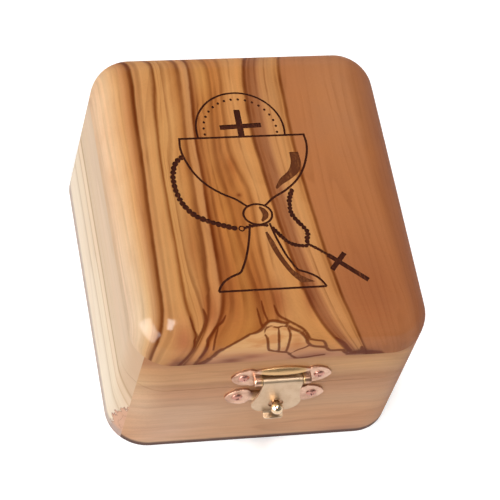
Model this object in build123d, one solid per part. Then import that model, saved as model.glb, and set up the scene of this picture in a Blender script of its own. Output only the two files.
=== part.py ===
from build123d import *
from math import radians, sqrt, tan
import os

# A small wooden box for a rosary: a mitred base, a lid with a rounded top, two brass butt hinges let into
# the back, and a brass flap clasp that hooks over a ball stud on the front.
# Sizes are in millimetres and angles in degrees. The origin is the middle of the underside, with +X to the
# right, +Y to the back and +Z up.

# Wooden box
BOX_WIDTH = 80.0
BOX_DEPTH = 93.5
BOX_HEIGHT = 55.0
BASE_HEIGHT = 30.5
SEAM_GAP = 0.15  # hairline between the base and the closed lid
WALL = 8.0
CORNER_RADIUS = 11.0  # upright corners, seen from above
PANEL_THICKNESS = 11.0
EDGE_ROUND = 9.0  # the round-over along the lid's top edge
FLOOR_THICKNESS = 5.0
FLOOR_REBATE = 3.0  # how far the floor reaches into each wall

# Butt hinges, let into the meeting edges at the back
HINGE_SET_IN = 18.0  # from the box's side to the middle of the nearer hinge
HINGE_LENGTH = 16.0
MIDDLE_KNUCKLE = 5.2
KNUCKLE_GAP = 0.2
BARREL_RADIUS = 1.3
HINGE_PIN_RADIUS = 0.55
HINGE_PIN_HEAD = 0.9
HINGE_PIN_HEAD_HEIGHT = 0.35
PIN_INSET = 1.2  # from the back face in to the hinge pin's centre
LID_STOP_ANGLE = 112.0  # where the two chamfered back edges would meet
LEAF_WIDTH = 5.4  # from the pin's centre to the leaf's edge
LEAF_THICKNESS = 0.8
LEAF_GAP = 0.3  # between the two leaves of a closed hinge
MORTISE_GAP = 0.2
HINGE_SCREW_SPREAD = 10.4
HINGE_SCREW_SETBACK = 3.4  # from the pin's centre
HINGE_SCREW_RADIUS = 0.65
HINGE_SCREW_HEAD = 1.25
HINGE_SCREW_LENGTH = 7.0

# Clasp, screwed to the front
CLASP_X = 0.8  # it sits a little right of the middle
SHEET = 0.6
HIGH_PLATE_RISE = 5.5  # from the base's top edge up to the screws and pin of the plate on the lid
LOW_PLATE_DROP = 4.7  # from the base's top edge down to the screws and stud of the plate on the base
CLASP_SCREW_SPREAD = 20.5
EAR_TIP = 3.4  # from the screw out to the ear's point
EAR_SHOULDER = 1.0  # from the screw back to the ear's widest place
EAR_HALF_HEIGHT = 3.8
EAR_NECK_HALF_HEIGHT = 2.4
EAR_OUTER_BULGE = 0.9
EAR_INNER_BULGE = 0.5
HIGH_PLATE_HALF_WIDTH = 8.2
HIGH_PLATE_BELOW = 4.2  # from the pin down to the plate's straight lower edge
HIGH_PLATE_RIM = 0.3  # flat margin above the hood
LOW_PLATE_HALF_HEIGHT = 2.2
LOW_PLATE_BOSS = 3.4
CLASP_PIN_RADIUS = 0.45
PIN_CLEARANCE = 0.05  # running fit of both kinds of pin
BARREL_CLEARANCE = 0.2  # between the flap's rolled edge and the plate behind it
CHEEK_RADIUS = 1.15
CHEEK_WIDTH = 2.2
CHEEK_ROUND = 0.4
HOOD_HALF_WIDTH = 8.0
HOOD_STANDOFF = 1.6  # from the wood out to the hood's fullest place
HOOD_END_STANDOFF = 0.05  # what is left of it at its ends, from the plate's face
HOOD_RISE = 1.9  # from the pin up to the axis that the hood is turned about
HOOD_AXIS_DEPTH = 1.6  # how deep in the wood that axis lies
HOOD_SHEET = 0.45
HOOD_SLOT = 2.3  # from the pin's centre up to the hood's lower edge

# Flap and ball stud
FLAP_TOP_HALF_WIDTH = 5.4
FLAP_HALF_WIDTH = 6.7
FLAP_STRAIGHT = 2.4  # from the pin down to where the sides begin to flare
FLAP_BELLY = 9.6  # from the pin down to the widest place
FLAP_LENGTH = 14.3
FLAP_FOOT_HALF_WIDTH = 4.0  # the straight stretch of the lower edge
FLAP_HOLE_CLEARANCE = 0.35
LIP_WIDTH = 5.4
LIP_BEND = 0.7  # inner radius of the lip's bend
LIP_TURN = 80.0
LIP_REACH = 1.3
LIP_CORNER = 0.8
BALL_RADIUS = 1.7
BALL_STANDOFF = 4.6  # from the wood out to the ball's centre
STUD_NECK = 1.1
STUD_FLANGE = 1.9
STUD_FLANGE_THICKNESS = 0.4
STUD_SHANK = 0.9
STUD_RIVET = 1.6
STUD_RIVET_THICKNESS = 0.6
RIVET_POCKET_GAP = 0.3
CLASP_SCREW_RADIUS = 0.8
CLASP_SCREW_HEAD = 1.5
CLASP_SCREW_DOME = 0.7
CLASP_SCREW_LENGTH = 6.4
SCREW_TIP = 1.5
SCREW_CLEARANCE = 0.05  # pilot hole round a screw's shank
PLATE_HOLE_CLEARANCE = 0.15

# Places that follow from the sizes above
LID_BOTTOM = BASE_HEIGHT + SEAM_GAP
PANEL_BOTTOM = BOX_HEIGHT - PANEL_THICKNESS
HINGE_Y = BOX_DEPTH / 2 - PIN_INSET
HINGE_Z = BASE_HEIGHT + SEAM_GAP / 2
BACK_CHAMFER = PIN_INSET * tan(radians(LID_STOP_ANGLE / 2))
HIGH_PLATE_HEIGHT = BASE_HEIGHT + HIGH_PLATE_RISE
LOW_PLATE_HEIGHT = BASE_HEIGHT - LOW_PLATE_DROP
CLASP_BARREL = CLASP_PIN_RADIUS + PIN_CLEARANCE + SHEET
PIN_STANDOFF = SHEET + BARREL_CLEARANCE + CLASP_BARREL  # from the wood out to the clasp pin's centre
CHEEK_START = FLAP_TOP_HALF_WIDTH + KNUCKLE_GAP
HOOD_RADIUS = HOOD_AXIS_DEPTH + HOOD_STANDOFF
HOOD_END_RADIUS = HOOD_AXIS_DEPTH + SHEET + HOOD_END_STANDOFF
FLAP_BACK = PIN_STANDOFF + CLASP_BARREL - SHEET
BALL_DROP = HIGH_PLATE_RISE + LOW_PLATE_DROP
BALL_OUT = BALL_STANDOFF - PIN_STANDOFF
SHEET_MIDDLE_OUT = CLASP_BARREL - SHEET / 2
# The hole is where the ball's centre crosses the sheet as the flap swings down.
FLAP_HOLE_DROP = sqrt(BALL_DROP**2 + BALL_OUT**2 - SHEET_MIDDLE_OUT**2)

# On the front face, x is to the right, y is up and z is out of the wood.
FRONT = Plane(origin=(CLASP_X, -BOX_DEPTH / 2, 0), x_dir=(1, 0, 0), z_dir=(0, -1, 0))

# Each side of the box runs between two corners, given by their signs.
SIDES = {
    "front": ((-1, -1), (1, -1)),
    "right": ((1, -1), (1, 1)),
    "back": ((1, 1), (-1, 1)),
    "left": ((-1, 1), (-1, -1)),
}


# Wooden box


def rounded_block(bottom, top):
    """The box's full outline between two heights."""
    outline = RectangleRounded(BOX_WIDTH, BOX_DEPTH, CORNER_RADIUS)
    return extrude(Pos(0, 0, bottom) * outline, top - bottom)


def corner(signs, inset):
    """A corner of the box's rectangle, moved in from both faces."""
    return signs[0] * (BOX_WIDTH / 2 - inset), signs[1] * (BOX_DEPTH / 2 - inset)


def mitred_board(side, bottom, top):
    """One of four boards that meet in mitres, with the box's rounded corners on its ends."""
    start, end = SIDES[side]
    outline = Polygon(corner(start, 0), corner(end, 0), corner(end, WALL), corner(start, WALL), align=None)
    return extrude(Pos(0, 0, bottom) * outline, top - bottom) & rounded_block(bottom, top)


def base_floor():
    """The floor, let into the bottom of the walls so that it lies flush with their undersides."""
    inset = 2 * (WALL - FLOOR_REBATE)
    on_table = (Align.CENTER, Align.CENTER, Align.MIN)
    return Box(BOX_WIDTH - inset, BOX_DEPTH - inset, FLOOR_THICKNESS, align=on_table)


def base_wall(side):
    """A wall of the base, with its floor rebate and the cuts for what is fastened to it."""
    wall = mitred_board(side, 0, BASE_HEIGHT) - base_floor()
    if side == "front":
        wall -= clasp_screw_holes(LOW_PLATE_HEIGHT)
        wall -= rivet_pocket()
    if side == "back":
        wall -= back_cuts()
    return wall


def lid_rail(side):
    """A rail of the lid, with the cuts for what is fastened to it."""
    rail = mitred_board(side, LID_BOTTOM, PANEL_BOTTOM)
    if side == "front":
        rail -= clasp_screw_holes(HIGH_PLATE_HEIGHT)
    if side == "back":
        rail -= back_cuts()
    return rail


def lid_panel():
    """The thick top, rounded over along its whole upper edge. Under a low lid the fixings reach into it."""
    block = rounded_block(PANEL_BOTTOM, BOX_HEIGHT)
    panel = fillet(block.faces().sort_by(Axis.Z)[-1].edges(), EDGE_ROUND)
    panel -= clasp_screw_holes(HIGH_PLATE_HEIGHT)
    panel -= back_cuts()
    return panel


# Hinges


def bar_along_x(radius, start, end, y, z):
    """A round bar parallel to X, between two places along it."""
    bar = Cylinder(radius, end - start, align=(Align.CENTER, Align.CENTER, Align.MIN))
    return Pos(start, y, z) * Rot(0, 90, 0) * bar


def turned(profile):
    """A solid turned about its own Z axis, from a profile drawn in radius and height."""
    return revolve(Plane.XZ * profile, Axis.Z)


def hinge_places():
    """The middles of the two hinges."""
    reach = BOX_WIDTH / 2 - HINGE_SET_IN
    return -reach, reach


def hinge_screw_places():
    """The middles of all the screws through one kind of leaf."""
    return [
        (hinge_x + side * HINGE_SCREW_SPREAD / 2, HINGE_Y - HINGE_SCREW_SETBACK)
        for hinge_x in hinge_places()
        for side in (-1, 1)
    ]


def back_cuts():
    """The stop chamfers, hinge mortises and pilot holes, which base and lid share in mirror image."""
    square = BACK_CHAMFER * sqrt(2)
    cuts = Pos(0, BOX_DEPTH / 2, HINGE_Z) * Rot(45, 0, 0) * Box(BOX_WIDTH, square, square)
    mortise_length = HINGE_LENGTH + 2 * (MORTISE_GAP + HINGE_PIN_HEAD_HEIGHT)
    mortise_width = LEAF_WIDTH + MORTISE_GAP
    mortise = Box(mortise_length, mortise_width, LEAF_GAP + 2 * LEAF_THICKNESS)
    for hinge_x in hinge_places():
        start = hinge_x - mortise_length / 2
        end = hinge_x + mortise_length / 2
        cuts += bar_along_x(BARREL_RADIUS + MORTISE_GAP, start, end, HINGE_Y, HINGE_Z)
        cuts += Pos(hinge_x, HINGE_Y - mortise_width / 2, HINGE_Z) * mortise
    pilot_depth = LEAF_GAP / 2 + HINGE_SCREW_LENGTH + SCREW_CLEARANCE
    pilot = Cylinder(HINGE_SCREW_RADIUS + SCREW_CLEARANCE, 2 * pilot_depth)
    for x, y in hinge_screw_places():
        cuts += Pos(x, y, HINGE_Z) * pilot
    return cuts


def knuckle_spans(in_base):
    """Where one leaf has its knuckles: the outer two in the base, the middle one in the lid."""
    outer_start = MIDDLE_KNUCKLE / 2 + KNUCKLE_GAP
    if in_base:
        return [(-HINGE_LENGTH / 2, -outer_start), (outer_start, HINGE_LENGTH / 2)]
    return [(-MIDDLE_KNUCKLE / 2, MIDDLE_KNUCKLE / 2)]


def countersunk_screw(head_radius):
    """A flat-headed wood screw with its head's face at height zero and its point down."""
    profile = Polyline(
        (0, 0),
        (head_radius, 0),
        (HINGE_SCREW_RADIUS, HINGE_SCREW_RADIUS - head_radius),
        (HINGE_SCREW_RADIUS, SCREW_TIP - HINGE_SCREW_LENGTH),
        (0, -HINGE_SCREW_LENGTH),
        close=True,
    )
    return turned(make_face(profile))


def upright(facing):
    """Turns a screw that points down so that it goes into the base (-1) or up into the lid (1)."""
    return Rot(0, 0, 0) if facing < 0 else Rot(180, 0, 0)


def hinge_leaf(hinge_x, facing):
    """A leaf with its knuckles. The one that faces down (-1) is in the base, the other (1) in the lid."""
    in_base = facing < 0
    face_z = HINGE_Z + facing * LEAF_GAP / 2
    plate = Box(HINGE_LENGTH, LEAF_WIDTH, LEAF_THICKNESS)
    leaf = Pos(hinge_x, HINGE_Y - LEAF_WIDTH / 2, face_z + facing * LEAF_THICKNESS / 2) * plate
    for start, end in knuckle_spans(not in_base):
        room_start = max(hinge_x + start - KNUCKLE_GAP, hinge_x - HINGE_LENGTH / 2)
        room_end = min(hinge_x + end + KNUCKLE_GAP, hinge_x + HINGE_LENGTH / 2)
        leaf -= bar_along_x(BARREL_RADIUS + KNUCKLE_GAP, room_start, room_end, HINGE_Y, HINGE_Z)
    for start, end in knuckle_spans(in_base):
        leaf += bar_along_x(BARREL_RADIUS, hinge_x + start, hinge_x + end, HINGE_Y, HINGE_Z)
    bore_half = HINGE_LENGTH / 2 + KNUCKLE_GAP
    bore_radius = HINGE_PIN_RADIUS + PIN_CLEARANCE
    leaf -= bar_along_x(bore_radius, hinge_x - bore_half, hinge_x + bore_half, HINGE_Y, HINGE_Z)
    hole = upright(facing) * countersunk_screw(HINGE_SCREW_HEAD + SCREW_CLEARANCE)
    wider = Cylinder(HINGE_SCREW_RADIUS + SCREW_CLEARANCE, 2 * HINGE_SCREW_LENGTH)
    for x, y in hinge_screw_places():
        if abs(x - hinge_x) < HINGE_LENGTH / 2:
            leaf -= Pos(x, y, face_z) * (hole + wider)
    return leaf


def hinge_pin(hinge_x):
    """A pin right through the knuckles, peened over at both ends."""
    half = HINGE_LENGTH / 2
    pin = bar_along_x(HINGE_PIN_RADIUS, hinge_x - half, hinge_x + half, HINGE_Y, HINGE_Z)
    for start, end in ((-half - HINGE_PIN_HEAD_HEIGHT, -half), (half, half + HINGE_PIN_HEAD_HEIGHT)):
        pin += bar_along_x(HINGE_PIN_HEAD, hinge_x + start, hinge_x + end, HINGE_Y, HINGE_Z)
    return pin


def hinge_screws(facing):
    """The four screws through the leaves on one side of the seam."""
    screw = upright(facing) * countersunk_screw(HINGE_SCREW_HEAD)
    face_z = HINGE_Z + facing * LEAF_GAP / 2
    return Compound([Pos(x, y, face_z) * screw for x, y in hinge_screw_places()])


# Clasp


def clasp_bar(radius, start, end):
    """A round bar about the clasp pin's axis, in the front face's own frame."""
    return bar_along_x(radius, start, end, HIGH_PLATE_HEIGHT, PIN_STANDOFF)


def clasp_screw_places(height):
    """The two screws of one clasp plate, in the front face's own frame."""
    return [(side * CLASP_SCREW_SPREAD / 2, height) for side in (-1, 1)]


def clasp_screw_holes(height):
    """Pilot holes in the wood behind one clasp plate."""
    depth = CLASP_SCREW_LENGTH - SHEET + SCREW_CLEARANCE
    pilot = Cylinder(CLASP_SCREW_RADIUS + SCREW_CLEARANCE, 2 * depth)
    return [FRONT * Pos(x, y, 0) * pilot for x, y in clasp_screw_places(height)]


def rivet_pocket():
    """The shallow hole in the wood for the stud's riveted tail."""
    depth = STUD_RIVET_THICKNESS + RIVET_POCKET_GAP
    pocket = Cylinder(STUD_RIVET + RIVET_POCKET_GAP, 2 * depth)
    return FRONT * Pos(0, LOW_PLATE_HEIGHT, 0) * pocket


def ear_outline(height):
    """Both pointed screw ears of a clasp plate."""
    screw_x = CLASP_SCREW_SPREAD / 2
    shoulder = screw_x - EAR_SHOULDER
    neck = screw_x - EAR_SHOULDER - EAR_NECK_HALF_HEIGHT
    tip = (screw_x + EAR_TIP, height)
    high_shoulder = (shoulder, height + EAR_HALF_HEIGHT)
    low_shoulder = (shoulder, height - EAR_HALF_HEIGHT)
    high_neck = (neck, height + EAR_NECK_HALF_HEIGHT)
    low_neck = (neck, height - EAR_NECK_HALF_HEIGHT)
    edges = [
        SagittaArc(high_shoulder, tip, EAR_OUTER_BULGE),
        SagittaArc(tip, low_shoulder, EAR_OUTER_BULGE),
        SagittaArc(low_shoulder, low_neck, EAR_INNER_BULGE),
        Line(low_neck, high_neck),
        SagittaArc(high_neck, high_shoulder, EAR_INNER_BULGE),
    ]
    ear = make_face(edges)
    return ear + mirror(ear, about=Plane.YZ)


def clasp_plate(outline, height):
    """A sheet plate cut to an outline, with its two screw holes."""
    plate = extrude(outline, SHEET)
    hole = Cylinder(CLASP_SCREW_RADIUS + PLATE_HOLE_CLEARANCE, 4 * SHEET)
    for x, y in clasp_screw_places(height):
        plate -= Pos(x, y, 0) * hole
    return plate


def spindle(middle_radius, end_radius):
    """A bulging bar, thickest halfway along, that the hood is cut from."""
    low_left = (-HOOD_HALF_WIDTH, 0)
    low_right = (HOOD_HALF_WIDTH, 0)
    left = (-HOOD_HALF_WIDTH, end_radius)
    right = (HOOD_HALF_WIDTH, end_radius)
    edges = [
        Polyline(left, low_left, low_right, right),
        ThreePointArc(right, (0, middle_radius), left),
    ]
    bar = revolve(make_face(edges), Axis.X)
    return Pos(0, HIGH_PLATE_HEIGHT + HOOD_RISE, -HOOD_AXIS_DEPTH) * bar


def hood_top(radius):
    """How high above the pin the hood meets the plate's face, where it has a given radius."""
    return HOOD_RISE + sqrt(radius**2 - (HOOD_AXIS_DEPTH + SHEET) ** 2)


def hood():
    """The raised hood over the flap's rolled edge, open below."""
    shell = spindle(HOOD_RADIUS, HOOD_END_RADIUS)
    shell -= spindle(HOOD_RADIUS - HOOD_SHEET, HOOD_END_RADIUS - HOOD_SHEET)
    half = (Align.CENTER, Align.MIN, Align.MIN)
    kept = Box(2 * HOOD_HALF_WIDTH, 2 * HOOD_RADIUS, 2 * HOOD_RADIUS, align=half)
    return shell & Pos(0, HIGH_PLATE_HEIGHT + HOOD_SLOT, SHEET) * kept


def cheek():
    """The lug at the right-hand end of the flap's rolled edge, which holds the pin."""
    lug = clasp_bar(CHEEK_RADIUS, CHEEK_START, CHEEK_START + CHEEK_WIDTH)
    foot = Box(CHEEK_WIDTH, 2 * CHEEK_RADIUS, PIN_STANDOFF, align=(Align.MIN, Align.CENTER, Align.MIN))
    lug += Pos(CHEEK_START, HIGH_PLATE_HEIGHT, 0) * foot
    outer_face = lug.faces().sort_by(Axis.X)[-1]
    return fillet(outer_face.edges().sort_by(Axis.Z)[1:], CHEEK_ROUND)


def clasp_top_plate():
    """The plate on the lid, with its ears, hood and the two cheeks that hold the pin."""
    low = HIGH_PLATE_HEIGHT - HIGH_PLATE_BELOW
    side = HIGH_PLATE_HEIGHT + hood_top(HOOD_END_RADIUS) + HIGH_PLATE_RIM
    left = (-HIGH_PLATE_HALF_WIDTH, side)
    right = (HIGH_PLATE_HALF_WIDTH, side)
    crown = (0, HIGH_PLATE_HEIGHT + hood_top(HOOD_RADIUS) + HIGH_PLATE_RIM)
    edges = [
        Polyline(left, (-HIGH_PLATE_HALF_WIDTH, low), (HIGH_PLATE_HALF_WIDTH, low), right),
        ThreePointArc(right, crown, left),
    ]
    plate = clasp_plate(ear_outline(HIGH_PLATE_HEIGHT) + make_face(edges), HIGH_PLATE_HEIGHT)
    plate += hood()
    plate += cheek()
    plate += mirror(cheek(), about=Plane.YZ)
    reach = CHEEK_START + CHEEK_WIDTH + SHEET
    plate -= clasp_bar(CLASP_PIN_RADIUS + PIN_CLEARANCE, -reach, reach)
    return FRONT * plate


def clasp_pin():
    """The pin that the flap swings on, from cheek to cheek."""
    reach = CHEEK_START + CHEEK_WIDTH
    return FRONT * clasp_bar(CLASP_PIN_RADIUS, -reach, reach)


def clasp_bottom_plate():
    """The plate on the base, with its ears and the round boss that carries the stud."""
    bar = Pos(0, LOW_PLATE_HEIGHT) * Rectangle(CLASP_SCREW_SPREAD, 2 * LOW_PLATE_HALF_HEIGHT)
    boss = Pos(0, LOW_PLATE_HEIGHT) * Circle(LOW_PLATE_BOSS)
    plate = clasp_plate(ear_outline(LOW_PLATE_HEIGHT) + bar + boss, LOW_PLATE_HEIGHT)
    plate -= Pos(0, LOW_PLATE_HEIGHT, 0) * Cylinder(STUD_SHANK + PIN_CLEARANCE, 4 * SHEET)
    return FRONT * plate


def clasp_ball_stud():
    """The ball on its neck, riveted through the lower plate."""
    flange_top = SHEET + STUD_FLANGE_THICKNESS
    neck_top = BALL_STANDOFF - sqrt(BALL_RADIUS**2 - STUD_NECK**2)
    outline = Polyline(
        (0, -STUD_RIVET_THICKNESS),
        (STUD_RIVET, -STUD_RIVET_THICKNESS),
        (STUD_RIVET, 0),
        (STUD_SHANK, 0),
        (STUD_SHANK, SHEET),
        (STUD_FLANGE, SHEET),
        (STUD_FLANGE, flange_top),
        (STUD_NECK, flange_top),
        (STUD_NECK, neck_top),
    )
    crown = (0, BALL_STANDOFF + BALL_RADIUS)
    ball = ThreePointArc((STUD_NECK, neck_top), (BALL_RADIUS, BALL_STANDOFF), crown)
    core = Line(crown, (0, -STUD_RIVET_THICKNESS))
    return FRONT * Pos(0, LOW_PLATE_HEIGHT, 0) * turned(make_face([outline, ball, core]))


def flap_outline():
    """The bell-shaped sheet of the flap, from the pin's height down to its lower edge."""
    top = HIGH_PLATE_HEIGHT
    flare = (FLAP_TOP_HALF_WIDTH, top - FLAP_STRAIGHT)
    belly = (FLAP_HALF_WIDTH, top - FLAP_BELLY)
    foot = (FLAP_FOOT_HALF_WIDTH, top - FLAP_LENGTH)
    sag = (FLAP_HALF_WIDTH - FLAP_TOP_HALF_WIDTH) / 4
    corner_bulge = (FLAP_HALF_WIDTH - FLAP_FOOT_HALF_WIDTH) / 3
    right_side = [
        Line((FLAP_TOP_HALF_WIDTH, top), flare),
        SagittaArc(flare, belly, -sag),
        SagittaArc(belly, foot, corner_bulge),
        Line(foot, (0, foot[1])),
        Line((0, foot[1]), (0, top)),
        Line((0, top), (FLAP_TOP_HALF_WIDTH, top)),
    ]
    right_half = make_face(right_side)
    return right_half + mirror(right_half, about=Plane.YZ)


def flap_lip():
    """The lip bent out of the flap's lower edge, to lift it by."""
    bend_start = HIGH_PLATE_HEIGHT - FLAP_LENGTH
    centre = (bend_start, FLAP_BACK + SHEET + LIP_BEND)
    inner = CenterArc(centre, LIP_BEND, 270, -LIP_TURN)
    outer = CenterArc(centre, LIP_BEND + SHEET, 270, -LIP_TURN)
    heading = 180 - LIP_TURN
    inner_run = PolarLine(inner @ 1, LIP_REACH, heading)
    outer_run = PolarLine(outer @ 1, LIP_REACH, heading)
    tip = Line(inner_run @ 1, outer_run @ 1)
    root = Line(outer @ 0, inner @ 0)
    edges = [inner, inner_run, tip, outer_run, outer, root]
    lip = extrude(Plane.YZ * make_face(edges), LIP_WIDTH / 2, both=True)
    end_face = lip.faces().sort_by(Axis.Z)[-1]
    corners = [edge for edge in end_face.edges() if edge.length < 2 * SHEET]
    return fillet(corners, LIP_CORNER)


def clasp_flap():
    """The flap: a sheet rolled round the pin, with a hole for the ball and a lip to lift it by."""
    flap = Pos(0, 0, FLAP_BACK) * extrude(flap_outline(), SHEET)
    roll = clasp_bar(CLASP_BARREL, -FLAP_TOP_HALF_WIDTH, FLAP_TOP_HALF_WIDTH)
    below_and_out = (Align.CENTER, Align.MAX, Align.MIN)
    seam = Box(2 * FLAP_TOP_HALF_WIDTH, CLASP_BARREL, CLASP_BARREL, align=below_and_out)
    roll -= Pos(0, HIGH_PLATE_HEIGHT, PIN_STANDOFF) * seam
    flap += roll
    flap += flap_lip()
    flap -= clasp_bar(CLASP_PIN_RADIUS + PIN_CLEARANCE, -FLAP_HALF_WIDTH, FLAP_HALF_WIDTH)
    hole = Cylinder(BALL_RADIUS + FLAP_HOLE_CLEARANCE, 4 * SHEET)
    flap -= Pos(0, HIGH_PLATE_HEIGHT - FLAP_HOLE_DROP, FLAP_BACK + SHEET / 2) * hole
    return FRONT * flap


def clasp_screws(height):
    """The two domed screws of one clasp plate."""
    outline = Polyline(
        (CLASP_SCREW_HEAD, 0),
        (CLASP_SCREW_RADIUS, 0),
        (CLASP_SCREW_RADIUS, SCREW_TIP - CLASP_SCREW_LENGTH),
        (0, -CLASP_SCREW_LENGTH),
        (0, CLASP_SCREW_DOME),
    )
    dome = TangentArc((0, CLASP_SCREW_DOME), (CLASP_SCREW_HEAD, 0), tangent=(1, 0))
    screw = turned(make_face([outline, dome]))
    return Compound([FRONT * Pos(x, y, SHEET) * screw for x, y in clasp_screw_places(height)])


def build_parts():
    """Every piece of the box by name."""
    left, right = hinge_places()
    pieces = {f"base_{side}_wall": base_wall(side) for side in SIDES}
    pieces |= {f"lid_{side}_rail": lid_rail(side) for side in SIDES}
    pieces |= {
        "base_floor": base_floor(),
        "lid_panel": lid_panel(),
        "left_hinge_base_leaf": hinge_leaf(left, -1),
        "right_hinge_base_leaf": hinge_leaf(right, -1),
        "left_hinge_lid_leaf": hinge_leaf(left, 1),
        "right_hinge_lid_leaf": hinge_leaf(right, 1),
        "left_hinge_pin": hinge_pin(left),
        "right_hinge_pin": hinge_pin(right),
        "hinge_base_screws": hinge_screws(-1),
        "hinge_lid_screws": hinge_screws(1),
        "clasp_top_plate": clasp_top_plate(),
        "clasp_top_screws": clasp_screws(HIGH_PLATE_HEIGHT),
        "clasp_pin": clasp_pin(),
        "clasp_flap": clasp_flap(),
        "clasp_bottom_plate": clasp_bottom_plate(),
        "clasp_bottom_screws": clasp_screws(LOW_PLATE_HEIGHT),
        "clasp_ball_stud": clasp_ball_stud(),
    }
    return pieces


os.makedirs("parts", exist_ok=True)
for name, piece in build_parts().items():
    export_step(piece, f"parts/{name}.step")
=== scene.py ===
"""Dresses a small olive-wood rosary box: figured boards, an engraved lid, a brass flap clasp and two butt hinges."""

import logging
import math
from collections.abc import Iterable, Sequence
from dataclasses import dataclass, field
from enum import Enum

import bmesh
import bpy
import numpy as np
from mathutils import Matrix, Vector

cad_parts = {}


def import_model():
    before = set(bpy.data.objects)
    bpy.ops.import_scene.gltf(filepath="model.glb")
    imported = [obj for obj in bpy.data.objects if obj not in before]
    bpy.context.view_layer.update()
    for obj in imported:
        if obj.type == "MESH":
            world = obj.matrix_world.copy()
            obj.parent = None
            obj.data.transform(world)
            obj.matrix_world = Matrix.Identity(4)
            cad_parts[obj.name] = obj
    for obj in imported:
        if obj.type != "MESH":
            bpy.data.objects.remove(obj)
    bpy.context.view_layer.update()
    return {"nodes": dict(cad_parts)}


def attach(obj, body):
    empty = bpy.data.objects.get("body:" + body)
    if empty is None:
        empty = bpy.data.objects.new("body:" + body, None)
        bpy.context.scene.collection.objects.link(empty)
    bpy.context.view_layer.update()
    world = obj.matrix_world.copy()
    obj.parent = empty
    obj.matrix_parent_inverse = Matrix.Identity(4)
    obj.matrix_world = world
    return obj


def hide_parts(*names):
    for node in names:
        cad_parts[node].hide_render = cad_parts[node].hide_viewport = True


LOG = logging.getLogger("rosary_box")
MM = 0.001

Colour = tuple[float, float, float, float]
Point = tuple[float, float]
Triple = tuple[float, float, float]
Route = tuple[Point, ...]
Socket = bpy.types.NodeSocket
Value = Socket | float | tuple[float, ...]
Nodes = dict[str, bpy.types.Object]


class Axis(Enum):
    """The direction a board's fibres run in."""

    ALONG_X = "along_x"
    ALONG_Y = "along_y"


class Join(Enum):
    """What a boolean does with its second solid."""

    ADD = "UNION"
    CUT = "DIFFERENCE"


class Reach(Enum):
    """What a lamp is for: everything, lighting surfaces only, or showing only as a glint in lacquer and metal."""

    ALL = "all"
    SURFACES = "surfaces"
    MIRRORS = "mirrors"


def tone(red: int, green: int, blue: int) -> Colour:
    """Makes a colour linear for the shader.

    Args:
        red: Its red as a screen value, from 0 to 255.
        green: Its green.
        blue: Its blue.

    Returns:
        The colour, opaque.
    """
    parts = [value / 255 for value in (red, green, blue)]
    linear = [p / 12.92 if p <= 0.04045 else ((p + 0.055) / 1.055) ** 2.4 for p in parts]
    return (*linear, 1.0)


def tones_at(*rows: tuple[float, int, int, int]) -> tuple[tuple[float, Colour], ...]:
    """Places on a scale, each with its colour. A row is the place and the colour's three screen values."""
    return tuple((place, tone(*screen)) for place, *screen in rows)


BLACK = tone(0, 0, 0)


# Node graphs


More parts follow.
